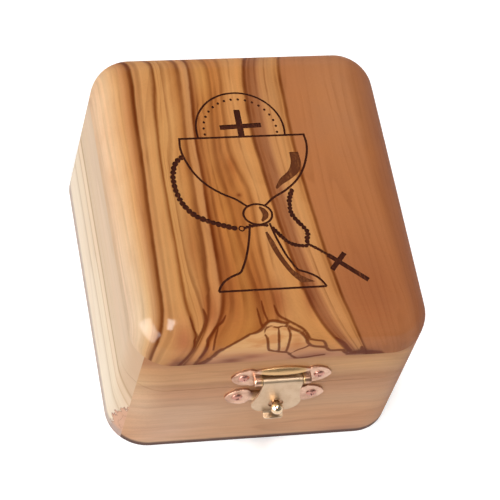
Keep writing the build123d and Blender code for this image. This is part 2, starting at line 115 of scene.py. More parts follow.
class Graph:
    """One node tree, built by short calls that each return a socket."""

    def __init__(self, owner: bpy.types.Material | bpy.types.World) -> None:
        """Starts with an empty tree.

        Args:
            owner: The material or world that the tree belongs to.
        """
        owner.use_nodes = True
        self.owner = owner
        self.tree = owner.node_tree
        self.tree.nodes.clear()

    @classmethod
    def named(cls, name: str) -> "Graph":
        """The empty tree of a new material."""
        return cls(bpy.data.materials.new(name))

    def node(self, kind: str, inputs: dict[int | str, Value], **settings: object) -> bpy.types.Node:
        """Adds a node and feeds it.

        Args:
            kind: The node's type without its ShaderNode prefix.
            inputs: What goes in, by socket name or index: another socket, or a plain value.
            **settings: Properties of the node itself.

        Returns:
            The node.
        """
        node = self.tree.nodes.new("ShaderNode" + kind)
        for key, setting in settings.items():
            setattr(node, key, setting)
        for key, value in inputs.items():
            if isinstance(value, Socket):
                self.tree.links.new(value, node.inputs[key])
            else:
                node.inputs[key].default_value = value
        return node

    def add(self, kind: str, inputs: dict[int | str, Value], out: int | str = 0, **settings: object) -> Socket:
        """Adds a node, feeds it, and returns one of its outputs."""
        return self.node(kind, inputs, **settings).outputs[out]

    def here(self) -> Socket:
        """The place on the piece, in metres."""
        return self.add("TexCoord", {}, out="Object")

    def millimetres(self) -> Socket:
        """The place on the piece, in millimetres."""
        return self.stretched(self.here(), (1 / MM, 1 / MM, 1 / MM))

    def parts(self, vector: Socket) -> list[Socket]:
        """The three parts of a vector."""
        return list(self.node("SeparateXYZ", {0: vector}).outputs)

    def math(self, operation: str, *values: Value) -> Socket:
        """Does one sum on one, two or three values."""
        return self.add("Math", dict(enumerate(values)), operation=operation)

    def mix(self, share: Value, first: Value, second: Value, blend: str = "MIX") -> Socket:
        """Mixes two colours.

        Args:
            share: How much of the second colour there is.
            first: The colour underneath.
            second: The colour on top.
            blend: How the second is laid over the first.

        Returns:
            The mixed colour.
        """
        inputs = {0: share, 6: first, 7: second}
        return self.add("Mix", inputs, out=2, data_type="RGBA", blend_type=blend)

    def remap(self, value: Value, span: Point, onto: Point = (0.0, 1.0), smooth: bool = False) -> Socket:
        """Stretches a value from one span onto another, held at its ends."""
        inputs = {0: value, 1: span[0], 2: span[1], 3: onto[0], 4: onto[1]}
        return self.add("MapRange", inputs, interpolation_type="SMOOTHSTEP" if smooth else "LINEAR")

    def vector(self, x: Value, y: Value, z: Value) -> Socket:
        """Joins three values into a vector."""
        return self.add("CombineXYZ", {0: x, 1: y, 2: z})

    def stretched(self, vector: Socket, scale: Triple) -> Socket:
        """Scales a vector by a different amount on each axis."""
        return self.add("VectorMath", {0: vector, 1: scale}, operation="MULTIPLY")

    def noise(self, vector: Socket, detail: float = 2.0, rough: float = 0.5, twist: float = 0.0) -> Socket:
        """Soft noise of unit size, from 0 to 1."""
        inputs = {"Vector": vector, "Scale": 1.0, "Detail": detail, "Roughness": rough, "Distortion": twist}
        return self.add("TexNoise", inputs)

    def ramp(self, value: Socket, stops: Sequence[tuple[float, Colour]]) -> Socket:
        """Turns a value into a colour.

        Args:
            value: A value from 0 to 1.
            stops: Up to 32 places with their colours, in order.

        Returns:
            The colour at that value.
        """
        socket = self.add("ValToRGB", {0: value})
        scale = socket.node.color_ramp
        for place, colour in stops[1:-1]:
            scale.elements.new(place).color = colour
        for index, (place, colour) in ((0, stops[0]), (len(stops) - 1, stops[-1])):
            scale.elements[index].position = place
            scale.elements[index].color = colour
        return socket

    def bump(self, height: Socket, strength: float, distance: float) -> Socket:
        """A normal from a height field, whose 1 stands for a distance in metres."""
        return self.add("Bump", {"Strength": strength, "Distance": distance, "Height": height})

    def surface(self, **sockets: Value) -> bpy.types.Material:
        """Ends the material with a Principled surface.

        Args:
            **sockets: The surface's inputs, with underscores for the spaces in their names.

        Returns:
            The finished material.
        """
        inputs = {key.replace("_", " "): value for key, value in sockets.items()}
        self.node("OutputMaterial", {"Surface": self.add("BsdfPrincipled", inputs)})
        return self.owner


# Finishes


@dataclass(frozen=True)
class Streak:
    """A dark line in the figure, crisp on one side and soft on the other."""

    place: float
    width: float
    fade_left: float
    fade_right: float
    strength: float

    def stops(self) -> list[Point]:
        """Follows the streak from one side to the other.

        Returns:
            Where it starts, where it is darkest from and to, and where it ends, each with how dark it is there.
        """
        half = self.width / 2
        return [
            (self.place - half - self.fade_left, 0.0),
            (self.place - half, self.strength),
            (self.place + half, self.strength),
            (self.place + half + self.fade_right, 0.0),
        ]


def streaks_at(*rows: tuple[float, float, float, float, float]) -> tuple[Streak, ...]:
    """Several streaks. A row is one streak's place, width, fade on its left, fade on its right, and strength."""
    return tuple(Streak(*row) for row in rows)


@dataclass(frozen=True)
class Patch:
    """A soft oval where the colour is made darker or paler, in millimetres, with how much of each colour it lets
    through. Some are the wood's own tone, some are painted sheen and some painted shade.
    """

    middle: Point
    half: Point
    tint: Triple

    def laid(self, graph: Graph, colour: Socket, x: Socket, y: Socket) -> Socket:
        """Lays the patch over a colour.

        Args:
            graph: The material that is being built.
            colour: The colour so far.
            x: The first coordinate of the surface, in millimetres.
            y: Its second coordinate.

        Returns:
            The colour with the patch.
        """
        off = [
            graph.math("POWER", graph.math("MULTIPLY_ADD", at, 1 / half, -middle / half), 2.0)
            for at, middle, half in ((x, self.middle[0], self.half[0]), (y, self.middle[1], self.half[1]))
        ]
        share = graph.math("EXPONENT", graph.math("MULTIPLY", graph.math("ADD", *off), -1.0))
        return graph.mix(share, colour, (*self.tint, 1.0), "MULTIPLY")


def patches_at(*rows: tuple[Point, Point, Triple]) -> tuple[Patch, ...]:
    """Several patches. A row is one patch's middle, its half sizes, and its tint."""
    return tuple(Patch(*row) for row in rows)


@dataclass(frozen=True)
class WoodFinish:
    """Lacquered olive wood, described across its growth rings in millimetres.

    The figure runs from low to high on the ring coordinate. Grounds are the broad tones, streaks the dark lines.
    """

    LINES_PER_RAMP = 7
    LATE_WOOD = tones_at((0.0, 0, 0, 0), (0.55, 60, 60, 60), (0.93, 255, 255, 255), (1.0, 0, 0, 0))

    # How fine each noise is, per millimetre: across the rings, along the fibres, and into the board.
    SLOW_DRIFT = (0.045, 0.016, 0.05)
    QUICK_DRIFT = (0.35, 0.07, 0.3)
    RING_FLOW = (0.075, 0.007, 1.0)
    STRONG_AREAS = (0.09, 0.012, 0.1)
    WARM_AREAS = (0.11, 0.012, 0.1)
    BANDS = (0.75, 0.012, 1.0)
    FIBRES = (5.5, 0.16, 5.5)
    PORES = (9.0, 0.9, 9.0)

    # The least that shows of a line or a ring where the figure is weak.
    FAINT_LEAST = 0.3
    STREAK_LEAST = 0.75
    CALM_FADE = 2.0
    CALM_LEAST = 0.35
    PORE_SPAN = (0.66, 0.76)
    LACQUER_ROUGHNESS = (0.42, 0.56)
    RELIEF = 0.03

    name: str
    grounds: tuple[tuple[float, Colour], ...]
    streaks: tuple[Streak, ...] = ()
    faint: tuple[Streak, ...] = ()
    patches: tuple[Patch, ...] = ()
    streak_tone: Colour = tone(92, 44, 22)
    low: float = -45.0
    high: float = 45.0
    wander: float = 1.2
    slant: float = 0.0
    ring_strength: float = 0.35
    ring_count: float = 9.0
    fibre_strength: float = 0.10
    pore_strength: float = 0.35
    warmth: Colour = tone(196, 124, 66)
    warmth_share: float = 0.18
    band_strength: float = 0.12
    calm_from: float = 90.0
    depth_gamma: float = 1.12
    # A painted contact shadow along each wall's bottom edge: how dark it gets, its colour, and the heights it fades
    # between.
    foot_shadow_share: float = 0.6
    foot_shadow_tone: Colour = tone(92, 66, 54)
    foot_shadow_span: Point = (2.6, 0.5)

    def share(self, place: float) -> float:
        """A place on the ring coordinate as a share of its whole span."""
        return (place - self.low) / (self.high - self.low)

    def figure(self, graph: Graph, grain: Socket) -> tuple[Socket, Socket, Socket]:
        """Grows the wood's colour with its fibres.

        Args:
            graph: The material that is being built.
            grain: A vector in millimetres: across the rings, along the fibres, and into the board.

        Returns:
            The colour, the fibre field and the pore field.
        """
        across, along, _ = graph.parts(grain)
        slow = graph.noise(graph.stretched(grain, self.SLOW_DRIFT), 3.0)
        quick = graph.noise(graph.stretched(grain, self.QUICK_DRIFT), 3.0)
        drift = graph.math("MULTIPLY_ADD", slow, 2 * self.wander, -self.wander)
        shiver = graph.math("MULTIPLY_ADD", quick, 0.5 * self.wander, -0.25 * self.wander)
        ring = graph.math("ADD", across, graph.math("ADD", drift, shiver))
        place = graph.remap(ring, (self.low, self.high))
        colour = graph.ramp(place, [(self.share(at), shade) for at, shade in self.grounds])

        flat = graph.vector(ring, along, 0.0)
        flow = graph.noise(graph.stretched(flat, self.RING_FLOW), 1.5, 0.4)
        late = graph.ramp(graph.math("FRACT", graph.math("MULTIPLY", flow, self.ring_count)), self.LATE_WOOD)
        strong = graph.noise(graph.stretched(grain, self.STRONG_AREAS), 1.0)
        weakest = self.FAINT_LEAST * self.ring_strength
        rings = graph.math("MULTIPLY", late, graph.remap(strong, (0.35, 0.65), (weakest, self.ring_strength)))
        colour = graph.mix(rings, colour, self.streak_tone)

        warm = graph.noise(graph.stretched(grain, self.WARM_AREAS), 3.0, 0.6)
        colour = graph.mix(graph.remap(warm, (0.4, 0.75), (0.0, self.warmth_share)), colour, self.warmth)

        for lines, least in ((self.faint, self.FAINT_LEAST), (self.streaks, self.STREAK_LEAST)):
            fading = graph.remap(strong, (0.38, 0.62), (least, 1.0))
            for first in range(0, len(lines), self.LINES_PER_RAMP):
                marks = [(0.0, BLACK)]
                for streak in lines[first : first + self.LINES_PER_RAMP]:
                    marks += [(self.share(at), (dark, dark, dark, 1.0)) for at, dark in streak.stops()]
                marks.append((1.0, BLACK))
                mask = graph.math("MULTIPLY", graph.ramp(place, marks), fading)
                colour = graph.mix(mask, colour, self.streak_tone)

        bands = graph.noise(graph.stretched(flat, self.BANDS), 3.0, 0.55)
        fibre = graph.noise(graph.stretched(grain, self.FIBRES), 4.0, 0.65)
        light = graph.remap(fibre, (0.25, 0.75), (1.0 - self.fibre_strength, 1.0 + self.fibre_strength))
        sway = graph.remap(bands, (0.3, 0.7), (-self.band_strength, self.band_strength))
        calm = graph.remap(ring, (self.calm_from, self.calm_from + self.CALM_FADE), (1.0, self.CALM_LEAST))
        light = graph.math("MULTIPLY", light, graph.math("MULTIPLY_ADD", sway, calm, 1.0))
        colour = graph.mix(1.0, colour, graph.add("CombineColor", {0: light, 1: light, 2: light}), "MULTIPLY")
        pore = graph.noise(graph.stretched(grain, self.PORES), 2.0, 0.6)
        pores = graph.remap(pore, self.PORE_SPAN, smooth=True)
        colour = graph.mix(graph.math("MULTIPLY", pores, self.pore_strength), colour, self.streak_tone)
        return graph.add("Gamma", {"Color": colour, "Gamma": self.depth_gamma}), fibre, pores

    def lacquered(self, graph: Graph, colour: Socket, fibre: Socket, pores: Socket) -> bpy.types.Material:
        """Puts the satin lacquer over a figure.

        Args:
            graph: The material that is being built.
            colour: The wood's colour.
            fibre: Its fibre field.
            pores: Its pore field.

        Returns:
            The finished material.
        """
        relief = graph.math("SUBTRACT", graph.math("MULTIPLY", fibre, 0.5), pores)
        return graph.surface(
            Base_Color=colour,
            Roughness=graph.remap(fibre, (0.2, 0.8), self.LACQUER_ROUGHNESS),
            Specular_IOR_Level=0.0,
            Normal=graph.bump(relief, 0.3, self.RELIEF * MM),
            Coat_Weight=0.12,
            Coat_Roughness=0.11,
            Coat_IOR=2.2,
        )

    def board(self, along: Axis, face: float | None) -> bpy.types.Material:
        """Finishes a plain board, laid out in the box's own frame.

        Args:
            along: The way the fibres run.
            face: How far out the board's outer face lies, in millimetres, or None for the floor. A wall's rings
                are crossed going up and lean by the slant, and the floor's are crossed going sideways.

        Returns:
            The material.
        """
        graph = Graph.named(self.name)
        x, y, z = graph.parts(graph.millimetres())
        fibres, across = (x, y) if along is Axis.ALONG_X else (y, x)
        if face is None:
            return self.lacquered(graph, *self.figure(graph, graph.vector(across, fibres, z)))
        depth = graph.math("ABSOLUTE", graph.math("SUBTRACT", across, face))
        grain = graph.vector(graph.math("MULTIPLY_ADD", depth, self.slant, z), fibres, across)
        colour, fibre, pores = self.figure(graph, grain)
        colour = self.local(graph, colour, fibres, z)
        for patch in self.patches:
            colour = patch.laid(graph, colour, fibres, z)
        # Painted contact shadow: the wall darkens towards its bottom edge, where it stands on the floor.
        foot = graph.remap(z, self.foot_shadow_span, (0.0, self.foot_shadow_share), smooth=True)
        return self.lacquered(graph, graph.mix(foot, colour, self.foot_shadow_tone), fibre, pores)

    def local(self, graph: Graph, colour: Socket, along: Socket, height: Socket) -> Socket:
        """Adds what only one place of a board shows. A plain board shows nothing more."""
        return colour


@dataclass(frozen=True)
class SapwoodFinish(WoodFinish):
    """Pale sapwood that turns tan towards its front end, where a patch of red heartwood shows low down."""

    end_tone: Colour = tone(210, 172, 138)
    end_span: Point = (-35.0, -42.5)
    end_heights: Point = (16.0, 34.0)
    heart_tone: Colour = tone(214, 160, 130)
    heart_line: Colour = tone(150, 92, 72)
    heart_edge: float = 40.2
    heart_foot: float = 9.0
    heart_lean: float = 0.42
    heart_rags: float = 6.0
    heart_rings: float = 0.45

    def local(self, graph: Graph, colour: Socket, along: Socket, height: Socket) -> Socket:
        """Adds the tan end and the heartwood patch.

        Args:
            graph: The material that is being built.
            colour: The board's colour so far.
            along: The place along the board in millimetres.
            height: The height in millimetres.

        Returns:
            The colour with both added.
        """
        upper = graph.remap(height, self.end_heights, (0.25, 1.0))
        end = graph.math("MULTIPLY", graph.remap(along, self.end_span, (0.0, 0.8), smooth=True), upper)
        colour = graph.mix(end, colour, self.end_tone)
        spot = graph.vector(graph.math("MULTIPLY", along, 0.5), graph.math("MULTIPLY", height, 0.4), 0.0)
        rags = graph.math("MULTIPLY_ADD", graph.noise(spot, 3.0, 0.6), self.heart_rags, -self.heart_rags / 2)
        over_foot = graph.math("MAXIMUM", graph.math("SUBTRACT", height, self.heart_foot), 0.0)
        rise = graph.math("MULTIPLY", over_foot, self.heart_lean)
        reach = graph.math("ADD", graph.math("ADD", graph.math("ADD", along, self.heart_edge), rise), rags)
        rings = graph.math("FRACT", graph.math("MULTIPLY", reach, self.heart_rings))
        heart = graph.mix(graph.remap(rings, (0.8, 0.98), (0.0, 0.5), smooth=True), self.heart_tone, self.heart_line)
        colour = graph.mix(graph.remap(reach, (0.15, -0.15), (0.0, 0.85), smooth=True), colour, heart)
        line = graph.remap(graph.math("ABSOLUTE", reach), (0.3, 0.05), (0.0, 0.6), smooth=True)
        return graph.mix(line, colour, self.heart_line)


@dataclass(frozen=True)
class CathedralFinish(WoodFinish):
    """The lid's wood, whose rings crop out in a peak where the front edge is rounded over."""

    CELLS = (0.16, 0.3, 1.0)
    RAGGED = (1.3, 1.3, 0.0)
    RAGGEDNESS = 0.7

    inner_light: Colour = tone(214, 162, 108)
    inner_warm: Colour = tone(202, 140, 88)
    inner_low: Colour = tone(190, 132, 98)
    inner_low_span: Point = (-50.5, -56.0)
    peak_edge: Point = (0.3, -0.3)
    vein: Colour = tone(102, 40, 8)
    vein_edge: Point = (2.15, 0.75)
    vein_share: float = 0.88

    def panel(self) -> bpy.types.Material:
        """Finishes the lid panel, laid out by the two maps that its mesh carries.

        Returns:
            The material.
        """
        graph = Graph.named(self.name)
        grain = graph.add("Attribute", {}, out="Vector", attribute_name=LidPanel.GRAIN_MAP)
        colour, fibre, pores = self.figure(graph, grain)
        ring, along, level = graph.parts(grain)
        x = graph.math("DIVIDE", graph.parts(graph.here())[0], MM)
        cells = graph.noise(graph.stretched(graph.vector(ring, along, 0.0), self.CELLS), 3.0, 0.6, 0.4)
        inner = graph.mix(graph.remap(cells, (0.40, 0.64), smooth=True), self.inner_light, self.inner_warm)
        low = graph.remap(along, self.inner_low_span, (0.0, 0.8), smooth=True)
        inner = graph.mix(low, inner, self.inner_low)
        colour = graph.mix(graph.remap(level, self.peak_edge, smooth=True), colour, inner)
        for patch in self.patches:
            colour = patch.laid(graph, colour, x, along)
        veins = graph.add("Attribute", {}, out="Fac", attribute_name=LidPanel.VEIN_MAP)
        ragged = graph.noise(graph.stretched(grain, self.RAGGED), 2.0)
        edge = graph.math("ADD", veins, graph.math("MULTIPLY_ADD", ragged, self.RAGGEDNESS, -self.RAGGEDNESS / 2))
        share = graph.remap(edge, self.vein_edge, (0.0, self.vein_share), smooth=True)
        return self.lacquered(graph, graph.mix(share, colour, self.vein), fibre, pores)


@dataclass(frozen=True)
class BurntFinish:
    """The scorched floor of an engraved line. Its noises are given per metre."""

    SPOTS = (2600.0, 1300.0, 2600.0)
    GRAIN = (900.0, 60.0, 900.0)
    PATCHES = (330.0, 200.0, 330.0)
    RELIEF = 0.06

    name: str
    deep: Colour
    light: Colour

    def material(self) -> bpy.types.Material:
        """Makes dull char that lets some wood show through.

        Returns:
            The material.
        """
        graph = Graph.named(self.name)
        here = graph.here()
        spots = graph.noise(graph.stretched(here, self.SPOTS), 3.0, 0.6)
        grain = graph.noise(graph.stretched(here, self.GRAIN), 2.0)
        share = graph.math("MULTIPLY", graph.remap(spots, (0.45, 0.75)), graph.remap(grain, (0.3, 0.7)))
        patches = graph.noise(graph.stretched(here, self.PATCHES), 2.0)
        share = graph.math("MULTIPLY", share, graph.remap(patches, (0.35, 0.65), (0.3, 1.4)))
        return graph.surface(
            Base_Color=graph.mix(share, self.deep, self.light),
            Roughness=graph.remap(spots, (0.3, 0.7), (0.7, 0.95)),
            Specular_IOR_Level=0.08,
            Normal=graph.bump(spots, 0.6, self.RELIEF * MM),
        )


@dataclass(frozen=True)
class MetalFinish:
    """Plated or polished brass. Sizes are in millimetres."""

    CLOUDS = (0.35, 0.35, 0.35)
    BEVEL_SAMPLES = 6

    name: str
    bright: Colour
    dull: Colour
    roughness: float
    spread: float = 0.08
    grain: float = 3.0
    relief: float = 0.004
    tarnish: float = 0.25
    edge: float = 0.12
    inner: Colour | None = None
    inner_middle: float = 0.8
    inner_span: Point = (5.6, 6.6)

    def material(self) -> bpy.types.Material:
        """Makes metal with faint clouding, fine stippling and softened edges, and perhaps a yellower middle.

        Returns:
            The material.
        """
        graph = Graph.named(self.name)
        size = graph.millimetres()
        clouds = graph.noise(graph.stretched(size, self.CLOUDS), 4.0, 0.6)
        stipple = graph.noise(graph.stretched(size, (self.grain, self.grain, self.grain)), 3.0, 0.7)
        colour = graph.mix(graph.remap(clouds, (0.4, 0.7), (0.0, self.tarnish * 2)), self.bright, self.dull)
        colour = graph.mix(graph.remap(stipple, (0.5, 0.8), (0.0, self.tarnish)), colour, self.dull)
        if self.inner:
            off = graph.math("ABSOLUTE", graph.math("SUBTRACT", graph.parts(size)[0], self.inner_middle))
            colour = graph.mix(graph.remap(off, self.inner_span, (1.0, 0.0), smooth=True), colour, self.inner)
        rough = graph.remap(stipple, (0.25, 0.75), (self.roughness - self.spread, self.roughness + self.spread))
        soft = graph.add("Bevel", {"Radius": self.edge * MM}, samples=self.BEVEL_SAMPLES)
        normal = graph.add("Bump", {"Strength": 1.0, "Distance": self.relief * MM, "Height": stipple, "Normal": soft})
        return graph.surface(Base_Color=colour, Metallic=1.0, Roughness=rough, Normal=normal)


# Meshes


def smooth_path(points: Sequence[Point], step: float = 0.4) -> np.ndarray:
    """Draws a flowing line through given points.

    Args:
        points: The places that it passes through.
        step: About how far apart the points of the result are.

    Returns:
        The line's points, one in each row.
    """
    knots = np.array(points, float)
    padded = np.vstack([2 * knots[0] - knots[1], knots, 2 * knots[-1] - knots[-2]])
    line = [knots[:1]]
    for before, start, end, after in zip(padded, padded[1:], padded[2:], padded[3:], strict=False):
        count = max(2, round(float(np.linalg.norm(end - start)) / step))
        t = np.linspace(0, 1, count + 1)[1:, None]
        bend = 2 * start + (end - before) * t + (2 * before - 5 * start + 4 * end - after) * t**2
        line.append((bend + (3 * start - before - 3 * end + after) * t**3) / 2)
    return np.vstack(line)


def ribbon(line: np.ndarray, width: float) -> np.ndarray:
    """Outlines a stroke of even width.

    Args:
        line: The points of its middle line, one in each row.
        width: Its width.

    Returns:
        The outline's points, one in each row.
    """
    run = np.gradient(line, axis=0)
    run /= np.linalg.norm(run, axis=1)[:, None]
    side = np.column_stack([-run[:, 1], run[:, 0]]) * width / 2
    return np.vstack([line + side, (line - side)[::-1]])


def walled(mesh: bmesh.types.BMesh, lower: Sequence[bmesh.types.BMVert], upper: Sequence[bmesh.types.BMVert]) -> None:
    """Joins two rings of corners by a band of faces. A ring of one corner is a tip.

    Args:
        mesh: The mesh that is being built.
        lower: The ring that each face starts on.
        upper: The ring that it ends on.
    """
    count = max(len(lower), len(upper))
    for index in range(count):
        after = (index + 1) % count
        around = ((lower, index), (lower, after), (upper, after), (upper, index))
        mesh.faces.new(list(dict.fromkeys(ring[at % len(ring)] for ring, at in around)))


def prism(outline: np.ndarray, low: float, high: float, narrowing: float = 1.0) -> bmesh.types.BMesh:
    """Raises an upright solid on an outline, in millimetres.

    Args:
        outline: The outline's points in order, one in each row.
        low: The height of its underside.
        high: The height of its top.
        narrowing: The underside's size as a share of the top's, about the middle.

    Returns:
        The solid.
    """
    mesh = bmesh.new()
    middle = outline.mean(axis=0)
    below = middle + (outline - middle) * narrowing
    floor = [mesh.verts.new((x, y, low)) for x, y in below]
    roof = [mesh.verts.new((x, y, high)) for x, y in outline]
    mesh.faces.new(floor[::-1])
    mesh.faces.new(roof)
    walled(mesh, floor, roof)
    bmesh.ops.recalc_face_normals(mesh, faces=mesh.faces)
    return mesh


def finished(source: bmesh.types.BMesh, name: str) -> bpy.types.Mesh:
    """Turns a working mesh into a plain one.

    Args:
        source: The working mesh. It is used up.
        name: The plain mesh's name.

    Returns:
        The plain mesh.
    """
    mesh = bpy.data.meshes.new(name)
    source.to_mesh(mesh)
    source.free()
    return mesh


def placed(mesh: bpy.types.Mesh, name: str) -> bpy.types.Object:
    """Puts a mesh in the scene.

    Args:
        mesh: The mesh.
        name: The name of the object that holds it.

    Returns:
        The object.
    """
    piece = bpy.data.objects.new(name, mesh)
    bpy.context.scene.collection.objects.link(piece)
    return piece


def combined(body: bpy.types.Mesh, tools: Iterable[bpy.types.Mesh], how: Join) -> bpy.types.Mesh:
    """Adds solids to a body or cuts them from it, one after another.

    Args:
        body: The solid that is worked on. It is used up.
        tools: The solids that work on it. They are used up.
        how: Whether they are added or cut away.

    Returns:
        The new solid.
    """
    work = placed(body, "work")
    helpers = [placed(tool, "tool") for tool in tools]
    for helper in helpers:
        step = work.modifiers.new("step", "BOOLEAN")
        step.operation = how.value
        step.solver = "MANIFOLD"
        step.material_mode = "TRANSFER"
        step.object = helper
    graph = bpy.context.evaluated_depsgraph_get()
    result = bpy.data.meshes.new_from_object(work.evaluated_get(graph), depsgraph=graph)
    for thing in (work, *helpers):
        used = thing.data
        bpy.data.objects.remove(thing)
        bpy.data.meshes.remove(used)
    return result


def shade(mesh: bpy.types.Mesh, angle: float = 30.0) -> None:
    """Shades a mesh smooth, with its edges kept crisp where it turns by more than an angle in degrees."""
    mesh.shade_smooth()
    mesh.set_sharp_from_angle(angle=math.radians(angle))


def dress(nodes: Nodes, names: Iterable[str], material: bpy.types.Material) -> None:
    """Gives every material slot of some nodes one finish.

    Args:
        nodes: The box's nodes by name.
        names: The ones to dress.
        material: Their finish.
    """
    for name in names:
        nodes[name].data.materials.clear()
        nodes[name].data.materials.append(material)
        LOG.info("dressed %s in %s", name, material.name)


def settle(piece: bpy.types.Object, body: str, node: str) -> None:
    """Puts a piece on its body in place of a node, and logs it.

    Args:
        piece: The piece.
        body: The body that it rides on.
        node: The node that it stands for.
    """
    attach(piece, body)
    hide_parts(node)
    LOG.info("built %s on %s, %d faces", piece.name, body, len(piece.data.polygons))


# Lid panel


@dataclass(frozen=True)
class Emblem:
    """A chalice with a host and a rosary, engraved in the lid. All sizes are in millimetres on the lid's top."""

    # A closed ring is drawn as two strokes that overlap a little, by the numbers of their points.
    RING_POINTS = 41
    HALVES = (slice(0, 22), slice(20, 41))

    centre: float = -2.5
    line: float = 0.62
    line_depth: float = 0.32
    bowl: Route = (
        (17.3, 16.2), (17.5, 13.0), (16.8, 9.4), (15.0, 5.0), (12.3, 1.3), (8.8, -1.6), (5.2, -3.7), (2.3, -6.2),
    )
    stem: Route = ((2.7, -11.6), (3.7, -16.2), (5.3, -21.4), (6.9, -25.0))
    foot: Route = ((6.9, -25.0), (7.9, -26.4), (10.2, -27.4), (12.2, -28.6), (13.6, -30.1), (14.5, -31.8))
    host_radius: float = 12.2
    host_height: float = 18.4
    host_points: int = 60
    host_line: float = 0.9
    dot_ring: float = 10.1
    dot_sweep: tuple[float, float, int] = (-6.0, 186.0, 18)
    dot_half: Point = (0.36, 0.40)
    knop_height: float = -8.7
    knop_half: Point = (3.9, 3.2)
    rope: float = 0.88
    rope_pitch: float = 1.36
    left_rope: Route = (
        (-20.2, 10.2), (-21.9, 8.7), (-23.1, 5.8), (-23.5, 2.0), (-23.0, -1.9), (-21.7, -5.3), (-19.6, -8.0),
        (-17.0, -9.7), (-14.0, -11.1), (-11.0, -12.2), (-9.3, -12.7),
    )
    right_rope: Route = (
        (8.1, -1.7), (7.1, -4.0), (6.6, -7.4), (7.1, -10.0), (8.7, -12.6), (10.0, -14.8), (9.6, -16.6), (9.3, -18.2),
    )
    low_rope: Route = ((0.9, -13.3), (2.6, -15.8), (4.4, -17.9), (6.6, -18.9), (9.3, -19.2))
    chain: Route = ((-6.6, -12.7), (-6.0, -12.5), (-3.0, -12.1), (-0.2, -12.3))
    tail: Route = ((9.6, -18.8), (11.4, -20.0), (13.4, -21.6), (15.6, -23.5))
    bead_size: Point = (0.88, 1.08)
    bead_rag: float = 0.07
    bead_depth: Point = (0.26, 0.42)
    link: Point = (-7.6, -12.9)
    link_half: Point = (0.72, 0.72)
    link_line: float = 0.4
    crucifix: Point = (16.6, -24.4)
    crucifix_turn: float = -41.0
    crucifix_drop: float = 3.1
    # The shaded crescents on the bowl, the knop and the stem: the step of their edges, then the outer and inner edge.
    crescents: tuple[tuple[float, Route, Route], ...] = (
        (
            0.4,
            ((12.2, 10.6), (12.3, 7.0), (11.2, 4.2), (8.6, 2.0), (6.0, 0.4), (4.1, -1.1)),
            ((3.9, -0.4), (5.6, 2.2), (8.2, 4.6), (9.5, 7.2), (9.7, 10.6)),
        ),
        (
            0.3,
            ((-1.6, -6.2), (-0.1, -7.3), (0.4, -8.8), (-0.1, -10.1), (-1.6, -11.1)),
            ((-1.9, -10.6), (-1.2, -8.8), (-1.9, -6.7)),
        ),
        (
            0.4,
            ((-0.9, -14.2), (0.3, -17.2), (1.7, -21.6), (3.9, -26.2), (6.0, -28.3), (9.2, -30.2)),
            ((5.4, -30.3), (3.0, -27.4), (0.6, -22.6), (-0.9, -18.2), (-1.5, -14.4)),
        ),
    )

    def mirrored(self, half: Sequence[Point], side: int) -> list[Point]:
        """Half of the chalice's outline, on its left (-1) or right (1)."""
        return [(self.centre + side * x, y) for x, y in half]

    def disc(self, middle: Point, half: Point, sides: int) -> np.ndarray:
        """The outline of a round or oval mark."""
        turn = np.linspace(0, 2 * math.pi, sides, endpoint=False)
        return np.column_stack([middle[0] + half[0] * np.cos(turn), middle[1] + half[1] * np.sin(turn)])

    def bar(self, middle: Point, length: float, width: float, turn: float) -> np.ndarray:
        """Outlines a straight bar.

        Args:
            middle: Where its middle lies.
            length: Its length.
            width: Its width.
            turn: Its turn in degrees.

        Returns:
            Its four corners, one in each row.
        """
        along = np.array([math.cos(math.radians(turn)), math.sin(math.radians(turn))])
        across = np.array([-along[1], along[0]])
        corners = ((-1, -1), (1, -1), (1, 1), (-1, 1))
        return np.array([np.array(middle) + a * along * length / 2 + b * across * width / 2 for a, b in corners])

    def lines(self) -> list[np.ndarray]:
        """Draws the chalice's strokes, the host's arc and the rosary's link.

        Returns:
            Their outlines.
        """
        rim_half, rim = self.bowl[0]
        rim_left = self.centre - rim_half - self.line / 2
        rim_right = self.centre + rim_half + self.line / 2
        foot_half, foot = self.foot[-1]
        dip = math.asin((rim - self.host_height) / self.host_radius)
        sweep = np.linspace(dip, math.pi - dip, self.host_points)
        middle = np.array([self.centre, self.host_height])
        host = middle + self.host_radius * np.column_stack([np.cos(sweep), np.sin(sweep)])
        strokes = [
            ribbon(np.array([(rim_left, rim), (rim_right, rim)]), self.line),
            ribbon(np.array([(self.centre - foot_half, foot), (self.centre + foot_half, foot)]), self.line),
            ribbon(host, self.line * self.host_line),
        ]
        turn = np.linspace(0, 2 * math.pi, self.RING_POINTS)
        knop = (self.centre, self.knop_height)
        for middle, half, width in ((knop, self.knop_half, self.line), (self.link, self.link_half, self.link_line)):
            ring = np.array(middle) + np.array(half) * np.column_stack([np.cos(turn), np.sin(turn)])
            strokes += [ribbon(ring[arc], width) for arc in self.HALVES]
        for side in (-1, 1):
            for half in (self.bowl, self.stem, self.foot):
                strokes.append(ribbon(smooth_path(self.mirrored(half, side)), self.line))
        return strokes

    def marks(self) -> list[np.ndarray]:
        """Draws the host's dots and cross, and the rosary's own cross.

        Returns:
            Their outlines.
        """
        marks = []
        for turn in np.radians(np.linspace(*self.dot_sweep)):
            spot = (self.centre + self.dot_ring * math.cos(turn), self.host_height + self.dot_ring * math.sin(turn))
            marks.append(self.disc(spot, self.dot_half, 10))
        radians = math.radians(self.crucifix_turn)
        left, top = self.crucifix
        shaft = (left + self.crucifix_drop * math.cos(radians), top + self.crucifix_drop * math.sin(radians))
